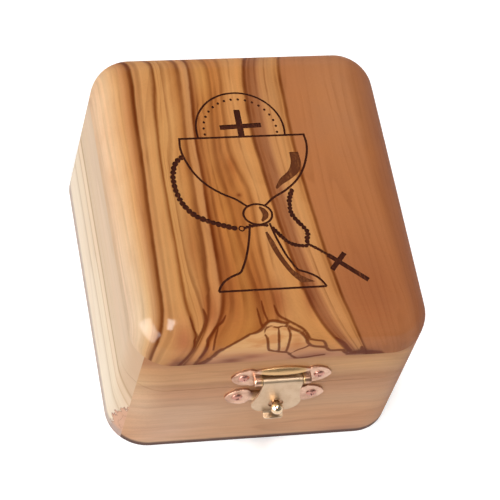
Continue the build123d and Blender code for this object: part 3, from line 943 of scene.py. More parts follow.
        # The host's cross and then the rosary's, each upright first: middle, length, width and turn.
        return marks + [
            self.bar((self.centre, 20.6), 8.9, 1.75, 90.0),
            self.bar((self.centre + 0.2, 19.6), 11.6, 1.5, 2.0),
            self.bar(shaft, 12.6, 1.35, self.crucifix_turn),
            self.bar(self.crucifix, 6.6, 1.4, self.crucifix_turn + 90.0),
        ]

    def shades(self) -> list[np.ndarray]:
        """The outlines of the shaded crescents."""
        return [np.vstack([smooth_path(edge, step) for edge in edges]) for step, *edges in self.crescents]

    def beads(self) -> list[tuple[np.ndarray, float]]:
        """Strings the rosary's beads as small ragged discs.

        Returns:
            The outline and the depth of each bead.
        """
        chance = np.random.default_rng(11)
        found = []
        routes = (self.left_rope, self.right_rope, self.low_rope, self.chain, self.tail)
        for route, size in zip(routes, (1.0, 0.84, 0.72, 0.55, 0.55), strict=True):
            line = smooth_path(route, 0.05)
            travel = np.concatenate([[0], np.cumsum(np.linalg.norm(np.diff(line, axis=0), axis=1))])
            for distance in np.arange(0, travel[-1], self.rope_pitch * (1.25 * size - 0.2)):
                spot = (np.interp(distance, travel, line[:, 0]), np.interp(distance, travel, line[:, 1]))
                half = self.rope * size * chance.uniform(*self.bead_size, 2)
                outline = self.disc(spot, tuple(half), 9)
                outline += chance.uniform(-self.bead_rag, self.bead_rag, outline.shape)
                found.append((outline, chance.uniform(*self.bead_depth)))
        return found


@dataclass(frozen=True)
class LidPanel:
    """The thick rounded top with its engraving. Sizes are in millimetres."""

    GRAIN_MAP = "grain_map"
    VEIN_MAP = "vein_map"
    # Steps over which the figure's lines are averaged, so that they bend softly at each station.
    BLUR = (-3.0, -2.0, -1.0, 0.0, 1.0, 2.0, 3.0)
    VEIN_LIMIT = 9.0

    width: float = 80.0
    depth: float = 93.5
    bottom: float = 44.0
    top: float = 55.0
    corner: float = 11.0
    edge_round: float = 9.0
    flat_border: float = 0.6
    corner_steps: int = 14
    round_steps: int = 14
    overshoot: float = 1.0
    mark_depth: float = 0.9
    shade_depth: float = 0.6
    grid: float = 2.5
    fine_grid: float = 0.36
    fine_x: Point = (-29.0, 27.0)
    fine_behind: float = -34.5
    # How far the finer grid stays above the underside, under the top and behind the front.
    fine_margins: Triple = (0.6, 0.05, 4.0)
    emblem: Emblem = field(default_factory=Emblem)
    # Where the figure's main lines run. Each is followed from front to back on the unrolled surface.
    stations: tuple[float, ...] = (
        -57.5, -54.0, -49.5, -46.5, -42.0, -35.0, -19.0, -3.5, 4.0, 11.0, 20.0, 36.0, 43.0, 52.0,
    )
    guides: tuple[tuple[float, tuple[float, ...]], ...] = (
        (-49.0, (-56.0, -55.0, -53.0, -52.0, -50.0, -49.5, -49.2, -49.0, -49.0, -49.0, -49.0, -49.0, -50.0, -52.0)),
        (-30.5, (-46.5, -43.0, -38.2, -35.6, -33.8, -32.6, -32.1, -31.5, -31.1, -30.8, -30.6, -30.1, -30.2, -33.0)),
        (-26.5, (-29.6, -27.6, -25.8, -25.5, -26.1, -27.2, -27.0, -27.0, -26.8, -26.5, -25.8, -24.6, -24.5, -26.5)),
        (-25.5, (-28.6, -26.6, -24.9, -24.5, -25.2, -26.3, -26.0, -26.0, -25.8, -25.5, -24.8, -23.6, -23.5, -25.5)),
        (-21.5, (-28.2, -26.4, -24.7, -23.9, -22.2, -22.3, -25.2, -24.8, -24.3, -23.8, -22.8, -21.6, -21.5, -23.5)),
        (-18.0, (-27.5, -25.8, -24.2, -23.4, -21.6, -20.4, -18.6, -18.5, -18.3, -18.0, -17.4, -16.6, -16.7, -18.5)),
        (-15.5, (-24.4, -23.1, -21.6, -21.4, -18.9, -16.2, -15.6, -15.7, -15.3, -15.3, -15.2, -13.7, -13.6, -15.0)),
        (-14.5, (-23.2, -22.0, -20.6, -20.4, -17.9, -15.2, -14.6, -14.7, -14.3, -14.3, -14.2, -12.7, -12.6, -14.0)),
        (-12.5, (-20.5, -19.0, -17.2, -16.0, -14.0, -12.7, -12.5, -12.7, -13.0, -13.5, -13.3, -11.8, -12.0, -13.4)),
        (-9.0, (-11.2, -10.2, -8.6, -7.8, -6.7, -6.7, -8.5, -9.8, -10.8, -11.1, -9.8, -8.0, -8.4, -9.5)),
        (-5.5, (-4.6, -4.4, -3.8, -3.4, -2.8, -3.0, -4.0, -3.2, -4.7, -7.3, -6.8, -5.4, -5.4, -5.6)),
        (-2.5, (0.5, 0.4, 0.0, -0.2, -0.4, -0.6, -1.4, -1.0, -1.9, -3.2, -3.0, -2.4, -1.8, -1.0)),
        (-0.4, (16.7, 15.0, 11.5, 9.9, 7.3, 5.2, 2.5, 1.1, 0.5, -0.2, -0.4, 0.3, 1.6, 4.5)),
        (0.6, (18.0, 16.3, 12.6, 10.9, 8.2, 6.1, 3.4, 2.1, 1.5, 0.9, 0.6, 1.3, 2.6, 5.5)),
        (1.6, (18.9, 17.3, 13.7, 12.0, 9.3, 7.1, 4.4, 3.1, 2.5, 1.9, 1.6, 2.3, 3.6, 6.4)),
        (11.3, (22.5, 21.0, 19.4, 18.5, 17.1, 15.5, 13.5, 12.4, 11.8, 11.5, 11.4, 11.5, 12.4, 15.0)),
        (49.0, (54.0, 53.0, 52.0, 51.0, 50.0, 49.5, 49.2, 49.0, 49.0, 49.0, 49.0, 49.0, 50.0, 52.0)),
    )
    peak: Route = (
        (-60.0, -75.0), (-30.0, -61.0), (-22.8, -57.9), (-20.9, -55.4), (-19.8, -54.0), (-18.6, -52.0),
        (-17.1, -50.9), (-14.8, -49.1), (-12.5, -47.4), (-10.4, -45.8), (-8.7, -45.3), (-7.1, -44.1), (-5.4, -41.8),
        (-3.9, -41.5), (-2.3, -42.0), (-0.3, -42.6), (0.9, -44.2), (3.3, -46.0), (4.7, -48.5), (5.4, -51.0),
        (6.8, -52.4), (11.6, -54.0), (16.0, -55.5), (30.0, -61.0), (60.0, -75.0),
    )
    vein_tip: float = 0.4
    vein_swell: float = 4.0
    # Dark lines round the peak, each with its half width. They start thin and swell over a few millimetres.
    veins: tuple[tuple[float, *Route], ...] = (
        (
            0.30, (-22.8, -57.9), (-21.7, -56.4), (-20.9, -55.4), (-19.8, -54.0), (-18.6, -52.0), (-17.1, -50.9),
            (-14.8, -49.1), (-12.5, -47.4), (-10.4, -45.8),
        ),
        (0.62, (-23.8, -57.9), (-22.6, -57.3), (-21.5, -56.4), (-20.7, -55.2)),
        (0.46, (-20.9, -55.4), (-19.8, -54.0), (-18.6, -52.0), (-17.6, -51.2)),
        (
            0.36, (-10.6, -45.9), (-8.7, -45.3), (-7.1, -44.1), (-6.5, -43.0), (-5.4, -41.8), (-3.9, -41.5),
            (-2.3, -42.0), (-0.3, -42.6),
        ),
        (
            0.33, (-0.7, -42.8), (0.9, -44.5), (3.3, -46.3), (4.7, -48.5), (5.3, -50.4), (6.8, -51.9), (10.2, -52.8),
            (11.6, -54.3), (15.0, -54.5), (15.9, -55.7), (17.0, -56.7),
        ),
        (
            0.27, (-6.6, -45.9), (-5.7, -47.8), (-5.2, -52.0), (-4.4, -52.8), (-2.0, -53.6), (0.3, -54.3),
            (1.8, -56.2), (3.4, -57.5), (5.5, -57.3), (8.0, -56.8), (10.5, -56.4),
        ),
        (0.25, (-2.7, -44.0), (-2.6, -48.2), (-2.3, -53.4)),
        (0.25, (-0.5, -43.7), (0.4, -46.5), (0.1, -50.4), (-0.3, -53.8)),
        (0.20, (1.2, -54.6), (2.7, -53.3), (4.6, -52.4), (5.5, -51.7)),
        (0.20, (-6.6, -45.9), (-6.1, -44.1), (-4.7, -43.3), (-3.1, -43.9), (-1.7, -43.5), (-0.5, -43.7)),
        (
            0.27, (-16.4, -38.9), (-17.5, -40.9), (-19.2, -42.5), (-20.5, -44.8), (-21.6, -47.0), (-21.5, -49.4),
            (-22.4, -52.4), (-23.2, -54.3),
        ),
        (
            0.32, (-22.0, -36.5), (-21.7, -39.5), (-22.4, -42.4), (-23.6, -45.4), (-24.6, -48.2), (-25.2, -50.6),
            (-26.3, -53.2), (-27.6, -56.1), (-28.0, -57.9),
        ),
        (
            0.20, (-26.0, -38.0), (-25.6, -40.1), (-25.2, -42.7), (-24.5, -45.1), (-25.1, -47.0), (-25.0, -48.8),
            (-25.4, -50.8),
        ),
        (0.20, (-18.7, -42.5), (-19.3, -45.4), (-19.7, -47.7), (-19.9, -51.1)),
        (0.22, (-7.9, -37.0), (-7.3, -42.3), (-6.7, -43.2)),
        (0.20, (-6.3, -35.0), (-6.1, -38.7), (-5.4, -41.4)),
        (
            0.27, (-3.2, -36.5), (-2.4, -39.7), (-0.2, -41.6), (1.9, -43.2), (3.9, -45.0), (5.1, -47.1), (5.8, -48.8),
            (7.7, -49.6), (9.5, -50.2), (10.5, -52.4),
        ),
        (0.34, (12.6, -48.8), (15.1, -51.5), (16.3, -53.5), (17.4, -55.2)),
        (0.85, (17.0, -56.8), (20.2, -56.0), (22.5, -56.6), (26.2, -57.6)),
        (0.60, (20.2, -53.6), (20.8, -55.6)),
    )

    def loop(self, inset: float, height: float) -> list[Triple]:
        """Follows the panel's outline once round.

        Args:
            inset: How far the outline is moved in.
            height: The height that it lies at.

        Returns:
            Its corners in order.
        """
        radius = self.corner - inset
        spots = []
        for quarter in range(4):
            sign_x = 1 if quarter in (0, 3) else -1
            sign_y = 1 if quarter in (0, 1) else -1
            centre_x = sign_x * (self.width / 2 - self.corner)
            centre_y = sign_y * (self.depth / 2 - self.corner)
            for step in range(self.corner_steps + 1):
                turn = math.radians(90 * (quarter + step / self.corner_steps))
                spots.append((centre_x + radius * math.cos(turn), centre_y + radius * math.sin(turn), height))
        return spots

    def block(self) -> bmesh.types.BMesh:
        """Makes the plain rounded panel, ruled into a grid that is fine enough to carry both maps.

        Returns:
            The panel, as a working mesh.
        """
        mesh = bmesh.new()
        rings = [self.loop(0.0, self.bottom)]
        for step in range(self.round_steps + 1):
            turn = math.radians(90 * step / self.round_steps)
            inset = self.edge_round * (1 - math.cos(turn))
            rings.append(self.loop(inset, self.top - self.edge_round * (1 - math.sin(turn))))
        rings.append(self.loop(self.edge_round + self.flat_border, self.top))
        made = [[mesh.verts.new(spot) for spot in ring] for ring in rings]
        for lower, upper in zip(made, made[1:], strict=False):
            walled(mesh, lower, upper)
        mesh.faces.new(made[0][::-1])
        mesh.faces.new(made[-1])
        for axis, reach in ((0, self.width / 2), (1, self.depth / 2)):
            for place in np.arange(-reach + self.grid / 2, reach, self.grid):
                self.rule(mesh, mesh.faces, axis, place)
        self.refine(mesh)
        return mesh

    def rule(self, mesh: bmesh.types.BMesh, faces: Iterable[bmesh.types.BMFace], axis: int, place: float) -> None:
        """Splits faces where a plane crosses them.

        Args:
            mesh: The mesh that they belong to.
            faces: The faces that may be split.
            axis: The axis that the plane stands across: 0, 1 or 2.
            place: Where on that axis it stands.
        """
        point, normal = [0.0, 0.0, 0.0], [0.0, 0.0, 0.0]
        point[axis], normal[axis] = float(place), 1.0
        chosen = set(faces)
        edges = {edge for face in chosen for edge in face.edges}
        corners = {corner for face in chosen for corner in face.verts}
        bmesh.ops.bisect_plane(mesh, geom=[*corners, *edges, *chosen], dist=1e-5, plane_co=point, plane_no=normal)

    def near_peak(self, face: bmesh.types.BMFace) -> bool:
        """Whether a face lies on the part of the front edge that holds the peak, above the underside."""
        x, y, z = face.calc_center_median()
        return self.fine_x[0] < x < self.fine_x[1] and y < self.fine_behind and z > self.bottom + 0.01

    def refine(self, mesh: bmesh.types.BMesh) -> None:
        """Rules the part of the front edge that holds the peak more finely, so that thin veins stay sharp.

        Args:
            mesh: The panel, as a working mesh.
        """
        above, under, inside = self.fine_margins
        for axis, start, stop in (
            (0, *self.fine_x),
            (2, self.bottom + above, self.top - under),
            (1, -self.depth / 2 + inside, self.fine_behind),
        ):
            for place in np.arange(start, stop, self.fine_grid):
                self.rule(mesh, [face for face in mesh.faces if self.near_peak(face)], axis, place)

    def engraving(self) -> tuple[list[bmesh.types.BMesh], list[bmesh.types.BMesh]]:
        """Makes the solids that the engraving takes away.

        Returns:
            The dark strokes, marks and beads, and the lightly burnt shades.
        """
        over = self.top + self.overshoot
        depth = self.emblem.line_depth
        dark = [prism(outline, self.top - depth, over) for outline in self.emblem.lines()]
        dark += [prism(outline, self.top - self.mark_depth * depth, over) for outline in self.emblem.marks()]
        dark += [prism(outline, self.top - bead_depth, over) for outline, bead_depth in self.emblem.beads()]
        light = [prism(outline, self.top - self.shade_depth * depth, over) for outline in self.emblem.shades()]
        return dark, light

    def unrolled(self, points: np.ndarray, axis: int, half: float) -> np.ndarray:
        """Measures one coordinate along the surface, over the rounded edge and down the side.

        Args:
            points: The points, one in each row.
            axis: Which coordinate: 0 or 1.
            half: Half of the panel's size on that axis.

        Returns:
            The coordinate of each point, stretched by how far the edge has dropped there.
        """
        place, height = points[:, axis], points[:, 2]
        over = np.clip(np.abs(place) - (half - self.edge_round), 0, self.edge_round)
        drop = self.edge_round - np.sqrt(np.maximum(self.edge_round**2 - over**2, 0))
        upright = np.maximum(self.top - self.edge_round - height, 0) * over / self.edge_round
        return place + np.sign(place) * (drop + upright)

    def grain_map(self, across: np.ndarray, along: np.ndarray) -> np.ndarray:
        """Finds where each point lies in the wood's figure.

        Args:
            across: The points' unrolled places from left to right.
            along: Their unrolled places from front to back.

        Returns:
            For each point: the ring coordinate, the place along the fibres and the height over the peak's edge.
        """
        lines = np.array(
            [np.mean([np.interp(along + b, self.stations, xs) for b in self.BLUR], axis=0) for _, xs in self.guides]
        )
        marks = np.array([mark for mark, _ in self.guides])
        ring = np.array([np.interp(x, lines[:, i], marks) for i, x in enumerate(across)])
        crest = np.array(self.peak)
        level = along - np.mean([np.interp(across + b / 3, crest[:, 0], crest[:, 1]) for b in self.BLUR], axis=0)
        return np.column_stack([ring, along, level])

    def vein_map(self, across: np.ndarray, along: np.ndarray) -> np.ndarray:
        """Measures how far each point lies from the nearest vein.

        Args:
            across: The points' unrolled places from left to right.
            along: Their unrolled places from front to back.

        Returns:
            The distance of each point, in half widths of that vein.
        """
        spots = np.column_stack([across, along])
        nearest = np.full(len(spots), self.VEIN_LIMIT)
        for half, *route in self.veins:
            line = smooth_path(route, 0.3)
            travel = 0.0
            for start, end in zip(line, line[1:], strict=False):
                run = end - start
                travel += float(np.linalg.norm(run))
                breadth = half * min(self.vein_tip + travel / self.vein_swell, 1.0)
                share = np.clip((spots - start) @ run / (run @ run), 0, 1)
                nearest = np.minimum(nearest, np.linalg.norm(spots - start - share[:, None] * run, axis=1) / breadth)
        return nearest

    def build(
        self, wood: bpy.types.Material, burnt: bpy.types.Material, scorched: bpy.types.Material
    ) -> bpy.types.Object:
        """Cuts the engraving into the panel and lays both maps over it.

        Args:
            wood: The finish of the panel.
            burnt: The finish inside the lines and beads.
            scorched: The finish inside the shaded crescents.

        Returns:
            The panel.
        """
        panel = finished(self.block(), "lid_panel_wood")
        panel.materials.append(wood)
        for cuts, finish in zip(self.engraving(), (burnt, scorched), strict=True):
            first, *rest = [finished(cut, "stroke") for cut in cuts]
            for solid in (first, *rest):
                solid.materials.append(finish)
            panel = combined(panel, [combined(first, rest, Join.ADD)], Join.CUT)
        spots = np.array([vertex.co for vertex in panel.vertices])
        across, along = self.unrolled(spots, 0, self.width / 2), self.unrolled(spots, 1, self.depth / 2)
        for name, kind, channel, values in (
            (self.GRAIN_MAP, "FLOAT_VECTOR", "vector", self.grain_map(across, along)),
            (self.VEIN_MAP, "FLOAT", "value", self.vein_map(across, along)),
        ):
            panel.attributes.new(name, kind, "POINT")
            panel.attributes[name].data.foreach_set(channel, values.astype(np.float32).ravel())
        panel.transform(Matrix.Scale(MM, 4))
        shade(panel)
        return placed(panel, "engraved_lid_panel")


# Screws


@dataclass(frozen=True)
class Screw:
    """A wood screw with a driven head, drawn point down with its seat at height zero. Sizes are in millimetres."""

    shank_radius: float
    length: float
    profile: Route
    recess: float
    recess_width: float
    recess_depth: float
    face: float
    crossed: bool = True
    thread_pitch: float = 0.9
    core_share: float = 0.8
    neck: float = 0.6
    tip: float = 1.5
    taper: float = 0.55
    sides: int = 40

    def outline(self) -> list[Point]:
        """Turns the outline of the whole screw.

        Returns:
            Its radius and height from the middle of the head down to the point.
        """
        core = self.shank_radius * self.core_share
        place = self.profile[-1][1] - self.neck
        spots = [*self.profile, (self.shank_radius, place)]
        while place - self.thread_pitch > self.tip - self.length:
            spots.append((core, place - self.thread_pitch * 0.5))
            spots.append((self.shank_radius, place - self.thread_pitch * 0.75))
            place -= self.thread_pitch
        return [*spots, (core, self.tip - self.length), (0.0, -self.length)]

    def blank(self) -> bmesh.types.BMesh:
        """Makes the screw before its recess is struck.

        Returns:
            The screw, as a working mesh.
        """
        mesh = bmesh.new()
        turns = [2 * math.pi * step / self.sides for step in range(self.sides)]
        rings = []
        for radius, height in self.outline():
            angles = turns if radius else turns[:1]
            rings.append([mesh.verts.new((radius * math.cos(t), radius * math.sin(t), height)) for t in angles])
        for upper, lower in zip(rings, rings[1:], strict=False):
            walled(mesh, upper, lower)
        bmesh.ops.recalc_face_normals(mesh, faces=mesh.faces)
        return mesh

    def bit(self) -> bmesh.types.BMesh:
        """Makes the punch that strikes the recess: a tapered cross, or a plain blade.

        Returns:
            The punch, as a working mesh.
        """
        arm, half = self.recess, self.recess_width / 2
        if self.crossed:
            corner = [(half, half), (half, arm), (-half, arm), (-half, half), (-arm, half), (-arm, -half)]
            spots = corner + [(-half, -half), (-half, -arm), (half, -arm), (half, -half), (arm, -half), (arm, half)]
        else:
            spots = [(arm, half), (-arm, half), (-arm, -half), (arm, -half)]
        deep = self.face - self.recess_depth
        return prism(np.array(spots), deep, self.face + 1.0, self.taper if self.crossed else 1.0)

    def mesh(self) -> bpy.types.Mesh:
        """The finished screw, in millimetres."""
        return combined(finished(self.blank(), "screw"), [finished(self.bit(), "bit")], Join.CUT)


def screw_set(name: str, screw: Screw, seats: Sequence[Matrix], brass: bpy.types.Material) -> bpy.types.Object:
    """Makes several screws as one piece.

    Args:
        name: The piece's name.
        screw: The kind of screw.
        seats: Where each one sits, in millimetres, with +Z out of its head.
        brass: Their finish.

    Returns:
        The piece, in metres.
    """
    pattern = screw.mesh()
    whole = bmesh.new()
    for seat in seats:
        copy = pattern.copy()
        copy.transform(seat)
        whole.from_mesh(copy)
        bpy.data.meshes.remove(copy)
    bpy.data.meshes.remove(pattern)
    mesh = finished(whole, name)
    mesh.transform(Matrix.Scale(MM, 4))
    mesh.materials.append(brass)
    shade(mesh)
    return placed(mesh, name)


# Sub-assemblies


@dataclass(frozen=True)
class Carcass:
    """The eight boards and the floor, which keep their own shape and get their wood. Sizes are in millimetres."""

    front: WoodFinish
    back: WoodFinish
    left: WoodFinish
    right: WoodFinish
    floor: WoodFinish
    half_width: float = 40.0
    half_depth: float = 46.75

    def build(self, nodes: Nodes) -> None:
        """Dresses each wall with the rail above it, which were one board before the lid was sawn off.

        Args:
            nodes: The box's nodes by name.
        """
        for side, wood, along, face in (
            ("front", self.front, Axis.ALONG_X, -self.half_depth),
            ("back", self.back, Axis.ALONG_X, self.half_depth),
            ("left", self.left, Axis.ALONG_Y, -self.half_width),
            ("right", self.right, Axis.ALONG_Y, self.half_width),
        ):
            dress(nodes, (f"base_{side}_wall", f"lid_{side}_rail"), wood.board(along, face))
        dress(nodes, ("base_floor",), self.floor.board(Axis.ALONG_Y, None))


@dataclass(frozen=True)
class Clasp:
    """The flap clasp: two plates, a flap rolled round its pin, a ball stud and four domed screws, in millimetres."""

    plates: MetalFinish
    flap: MetalFinish
    ball: MetalFinish
    pin: MetalFinish
    screws: MetalFinish
    middle: float = 0.8
    front: float = -46.75
    sheet: float = 0.6
    spread: float = 20.5
    high: float = 36.0
    low: float = 25.8
    high_turns: Point = (12.0, 52.0)
    low_turns: Point = (74.0, 31.0)
    screw: Screw = Screw(
        shank_radius=0.8,
        length=6.4,
        profile=(
            (0.0, 0.7), (0.45, 0.67), (0.85, 0.55), (1.15, 0.38), (1.36, 0.2), (1.48, 0.06), (1.5, 0.0), (0.8, 0.0),
        ),
        recess=0.92,
        recess_width=0.36,
        recess_depth=0.55,
        face=0.7,
    )

    def seat(self, side: int, height: float, turn: float) -> Matrix:
        """Finds where a screw's head sits on its ear.

        Args:
            side: The left ear (-1) or the right one (1).
            height: The height of the ear.
            turn: The screw's turn about its own axis, in degrees.

        Returns:
            The seat, with +Z out of the screw's head.
        """
        spot = Vector((self.middle + side * self.spread / 2, self.front - self.sheet, height))
        out = Matrix.Rotation(math.radians(90), 4, "X")
        return Matrix.Translation(spot) @ out @ Matrix.Rotation(math.radians(turn), 4, "Z")

    def build(self, nodes: Nodes) -> None:
        """Dresses the clasp's nodes and makes its screws.

        Args:
            nodes: The box's nodes by name.
        """
        for finish, names in (
            (self.plates, ("clasp_top_plate", "clasp_bottom_plate")),
            (self.flap, ("clasp_flap",)),
            (self.ball, ("clasp_ball_stud",)),
            (self.pin, ("clasp_pin",)),
        ):
            dress(nodes, names, finish.material())
        brass = self.screws.material()
        for name, node, body, height, turns in (
            ("clasp_lid_screws", "clasp_top_screws", "lid", self.high, self.high_turns),
            ("clasp_base_screws", "clasp_bottom_screws", "base", self.low, self.low_turns),
        ):
            seats = [self.seat(side, height, turn) for side, turn in zip((-1, 1), turns, strict=True)]
            settle(screw_set(name, self.screw, seats, brass), body, node)


@dataclass(frozen=True)
class Hinges:
    """The two butt hinges: leaves, pins and eight countersunk screws. Sizes are in millimetres."""

    leaves: MetalFinish
    pins: MetalFinish
    screws: MetalFinish
    places: Point = (-22.0, 22.0)
    spread: float = 10.4
    line: float = 42.15
    seam: float = 30.575
    leaf_gap: float = 0.3
    turn_step: float = 37.0
    turn_offset: float = 15.0
    screw: Screw = Screw(
        shank_radius=0.65,
        length=7.0,
        profile=((0.0, 0.0), (1.25, 0.0), (0.65, -0.6)),
        recess=1.4,
        recess_width=0.26,
        recess_depth=0.3,
        face=0.0,
        crossed=False,
    )

    def seats(self, facing: int) -> list[Matrix]:
        """Finds where one side's four screws sit.

        Args:
            facing: The base's screws, which go down (-1), or the lid's, which go up (1).

        Returns:
            The seats, each with +Z out of its screw's head.
        """
        height = self.seam + facing * self.leaf_gap / 2
        flip = Matrix.Rotation(0.0 if facing < 0 else math.pi, 4, "X")
        found = []
        for index, (place, side) in enumerate((p, s) for p in self.places for s in (-1, 1)):
            spot = Vector((place + side * self.spread / 2, self.line, height))
            degrees = self.turn_step * index + self.turn_offset * facing
            found.append(Matrix.Translation(spot) @ flip @ Matrix.Rotation(math.radians(degrees), 4, "Z"))
        return found

    def build(self, nodes: Nodes) -> None:
        """Dresses the hinges' nodes and makes their screws.

        Args:
            nodes: The box's nodes by name.
        """
        for finish, ends in ((self.leaves, ("base_leaf", "lid_leaf")), (self.pins, ("pin",))):
            dress(nodes, [f"{side}_hinge_{end}" for side in ("left", "right") for end in ends], finish.material())
        brass = self.screws.material()
        for name, node, body, facing in (
            ("hinge_base_slotted_screws", "hinge_base_screws", "base", -1),
            ("hinge_lid_slotted_screws", "hinge_lid_screws", "lid", 1),
        ):
            settle(screw_set(name, self.screw, self.seats(facing), brass), body, node)


# Studio


@dataclass(frozen=True)
class Lamp:
    """A soft rectangular lamp. Places are in metres."""

    name: str
    place: Triple
    aim: Triple
    size: Point
    power: float
    reach: Reach = Reach.ALL

    def build(self) -> None:
        """Hangs the lamp."""
        light = bpy.data.lights.new(self.name, "AREA")
        light.shape = "RECTANGLE"
        light.size, light.size_y = self.size
        light.energy = self.power
        lamp = bpy.data.objects.new(self.name, light)
        lamp.location = self.place
        lamp.rotation_mode = "QUATERNION"
        lamp.rotation_quaternion = (Vector(self.aim) - Vector(self.place)).to_track_quat("-Z", "Y")
        lamp.visible_diffuse = self.reach is not Reach.MIRRORS
        lamp.visible_glossy = self.reach is not Reach.SURFACES
        bpy.context.scene.collection.objects.link(lamp)


@dataclass(frozen=True)
class Camera:
    """Where the camera stands. Angles are in degrees and sizes in millimetres, but what it clips is in metres."""

    azimuth: float = -26.2009
    elevation: float = 55.8740
    roll: float = 19.2964
    distance: float = 673.362
    target: Triple = (1.687, -2.859, 27.447)
    lens: float = 176.144
    sensor: float = 36.0
    clip: Point = (0.01, 20.0)

    def build(self) -> None:
        """Sets the camera up and makes it the scene's own."""
        turn, lift, tip = (math.radians(a) for a in (self.azimuth, self.elevation, self.roll))
        back = Vector((math.sin(turn) * math.cos(lift), -math.cos(turn) * math.cos(lift), math.sin(lift)))
        right = Vector((math.cos(turn), math.sin(turn), 0.0))
        up = back.cross(right)
        level = math.cos(tip) * right + math.sin(tip) * up
        upright = -math.sin(tip) * right + math.cos(tip) * up
        lens = bpy.data.cameras.new("camera")
        lens.lens = self.lens
        lens.sensor_width = self.sensor
        lens.clip_start, lens.clip_end = self.clip
        camera = bpy.data.objects.new("camera", lens)
        camera.rotation_mode = "QUATERNION"
        camera.rotation_quaternion = Matrix((level, upright, back)).transposed().to_quaternion()
        camera.location = (Vector(self.target) + self.distance * back) * MM
        bpy.context.scene.collection.objects.link(camera)
        bpy.context.scene.camera = camera


WINDOW_AIM = (-0.036, -0.040, 0.052)
OVERHEAD_AIM = (-0.031, -0.040, 0.054)


@dataclass(frozen=True)
class Studio:
    """A pale floor under soft light, with the camera. Sizes are in metres."""

    camera: Camera = Camera()
    lamps: tuple[Lamp, ...] = (
        Lamp("left_window", (-1.06, -0.24, 0.40), WINDOW_AIM, (0.50, 0.60), 3.3),
        Lamp("overhead", (-0.09, -0.19, 1.14), OVERHEAD_AIM, (0.15, 0.40), 6.4, Reach.SURFACES),
        Lamp("window_glint", (-1.04, -0.28, 0.39), WINDOW_AIM, (1.20, 1.00), 40.0, Reach.MIRRORS),
        Lamp("overhead_glint", (-0.09, -0.19, 1.12), OVERHEAD_AIM, (0.24, 0.70), 10.5, Reach.MIRRORS),
    )
    floor_size: float = 6.0
    floor_drop: float = 0.00002
    floor_tone: Colour = tone(246, 246, 246)
    floor_shade: Colour = tone(238, 238, 238)
    floor_tooth: Triple = (900.0, 900.0, 900.0)
    floor_lift: float = 0.32
    fill: float = 0.5
    # What mirrors see: a wall that is brighter behind the box than in front of it, under a darker ceiling.
    wall: Point = (0.25, 0.95)
    wall_span: Point = (-0.8, 0.3)
    ceiling: float = 0.15
    ceiling_span: Point = (0.35, 0.75)

    def seen(self, graph: Graph) -> Socket:
        """Tells the rays that show the surroundings as they are from those that light the box.

        Args:
            graph: The node tree that is being built.

        Returns:
            One for camera, mirror and glass rays.
        """
        rays = graph.node("LightPath", {}).outputs
        both = graph.math("MAXIMUM", rays["Is Camera Ray"], rays["Is Glossy Ray"])
        return graph.math("MAXIMUM", both, rays["Is Transmission Ray"])

    def floor(self) -> None:
        """Lays the floor, which stays white under the light and keeps the shadow."""
        mesh = bmesh.new()
        bmesh.ops.create_grid(mesh, x_segments=4, y_segments=4, size=self.floor_size / 2)
        piece = placed(finished(mesh, "floor"), "floor")
        piece.location.z = -self.floor_drop
        graph = Graph.named("floor_paper")
        tooth = graph.noise(graph.stretched(graph.here(), self.floor_tooth), 3.0)
        colour = graph.mix(graph.remap(tooth, (0.3, 0.7), (0.985, 1.0)), self.floor_shade, self.floor_tone)
        paper = graph.add("BsdfDiffuse", {"Color": colour})
        glow = graph.add("Emission", {"Strength": graph.math("MULTIPLY", self.seen(graph), self.floor_lift)})
        graph.node("OutputMaterial", {"Surface": graph.add("AddShader", {0: paper, 1: glow})})
        piece.data.materials.append(graph.owner)

    def surroundings(self) -> None:
        """Fills the room with even light. Its wall behind the box is white and its front is darker in reflections."""
        world = bpy.data.worlds.new("room")
        bpy.context.scene.world = world
        graph = Graph(world)
        rays = graph.node("LightPath", {}).outputs
        _, back, up = graph.parts(graph.add("TexCoord", {}, out="Generated"))
        wall = graph.remap(back, self.wall_span, self.wall, smooth=True)
        high = graph.remap(up, self.ceiling_span, smooth=True)
        mirrored = graph.add("Mix", {0: high, 2: wall, 3: self.ceiling}, data_type="FLOAT")
        strength = graph.math("MAXIMUM", self.fill, rays["Is Camera Ray"])
        strength = graph.add("Mix", {0: rays["Is Glossy Ray"], 2: strength, 3: mirrored}, data_type="FLOAT")
        light = graph.add("Background", {"Color": (1.0, 1.0, 1.0, 1.0), "Strength": strength})
        graph.node("OutputWorld", {"Surface": light})

    def build(self) -> None:
        """Sets up the floor, the light and the camera."""
        bpy.context.scene.view_settings.view_transform = "Standard"
        self.floor()
        self.surroundings()
        for lamp in self.lamps:
            lamp.build()
        self.camera.build()


# Woods and metals of this box

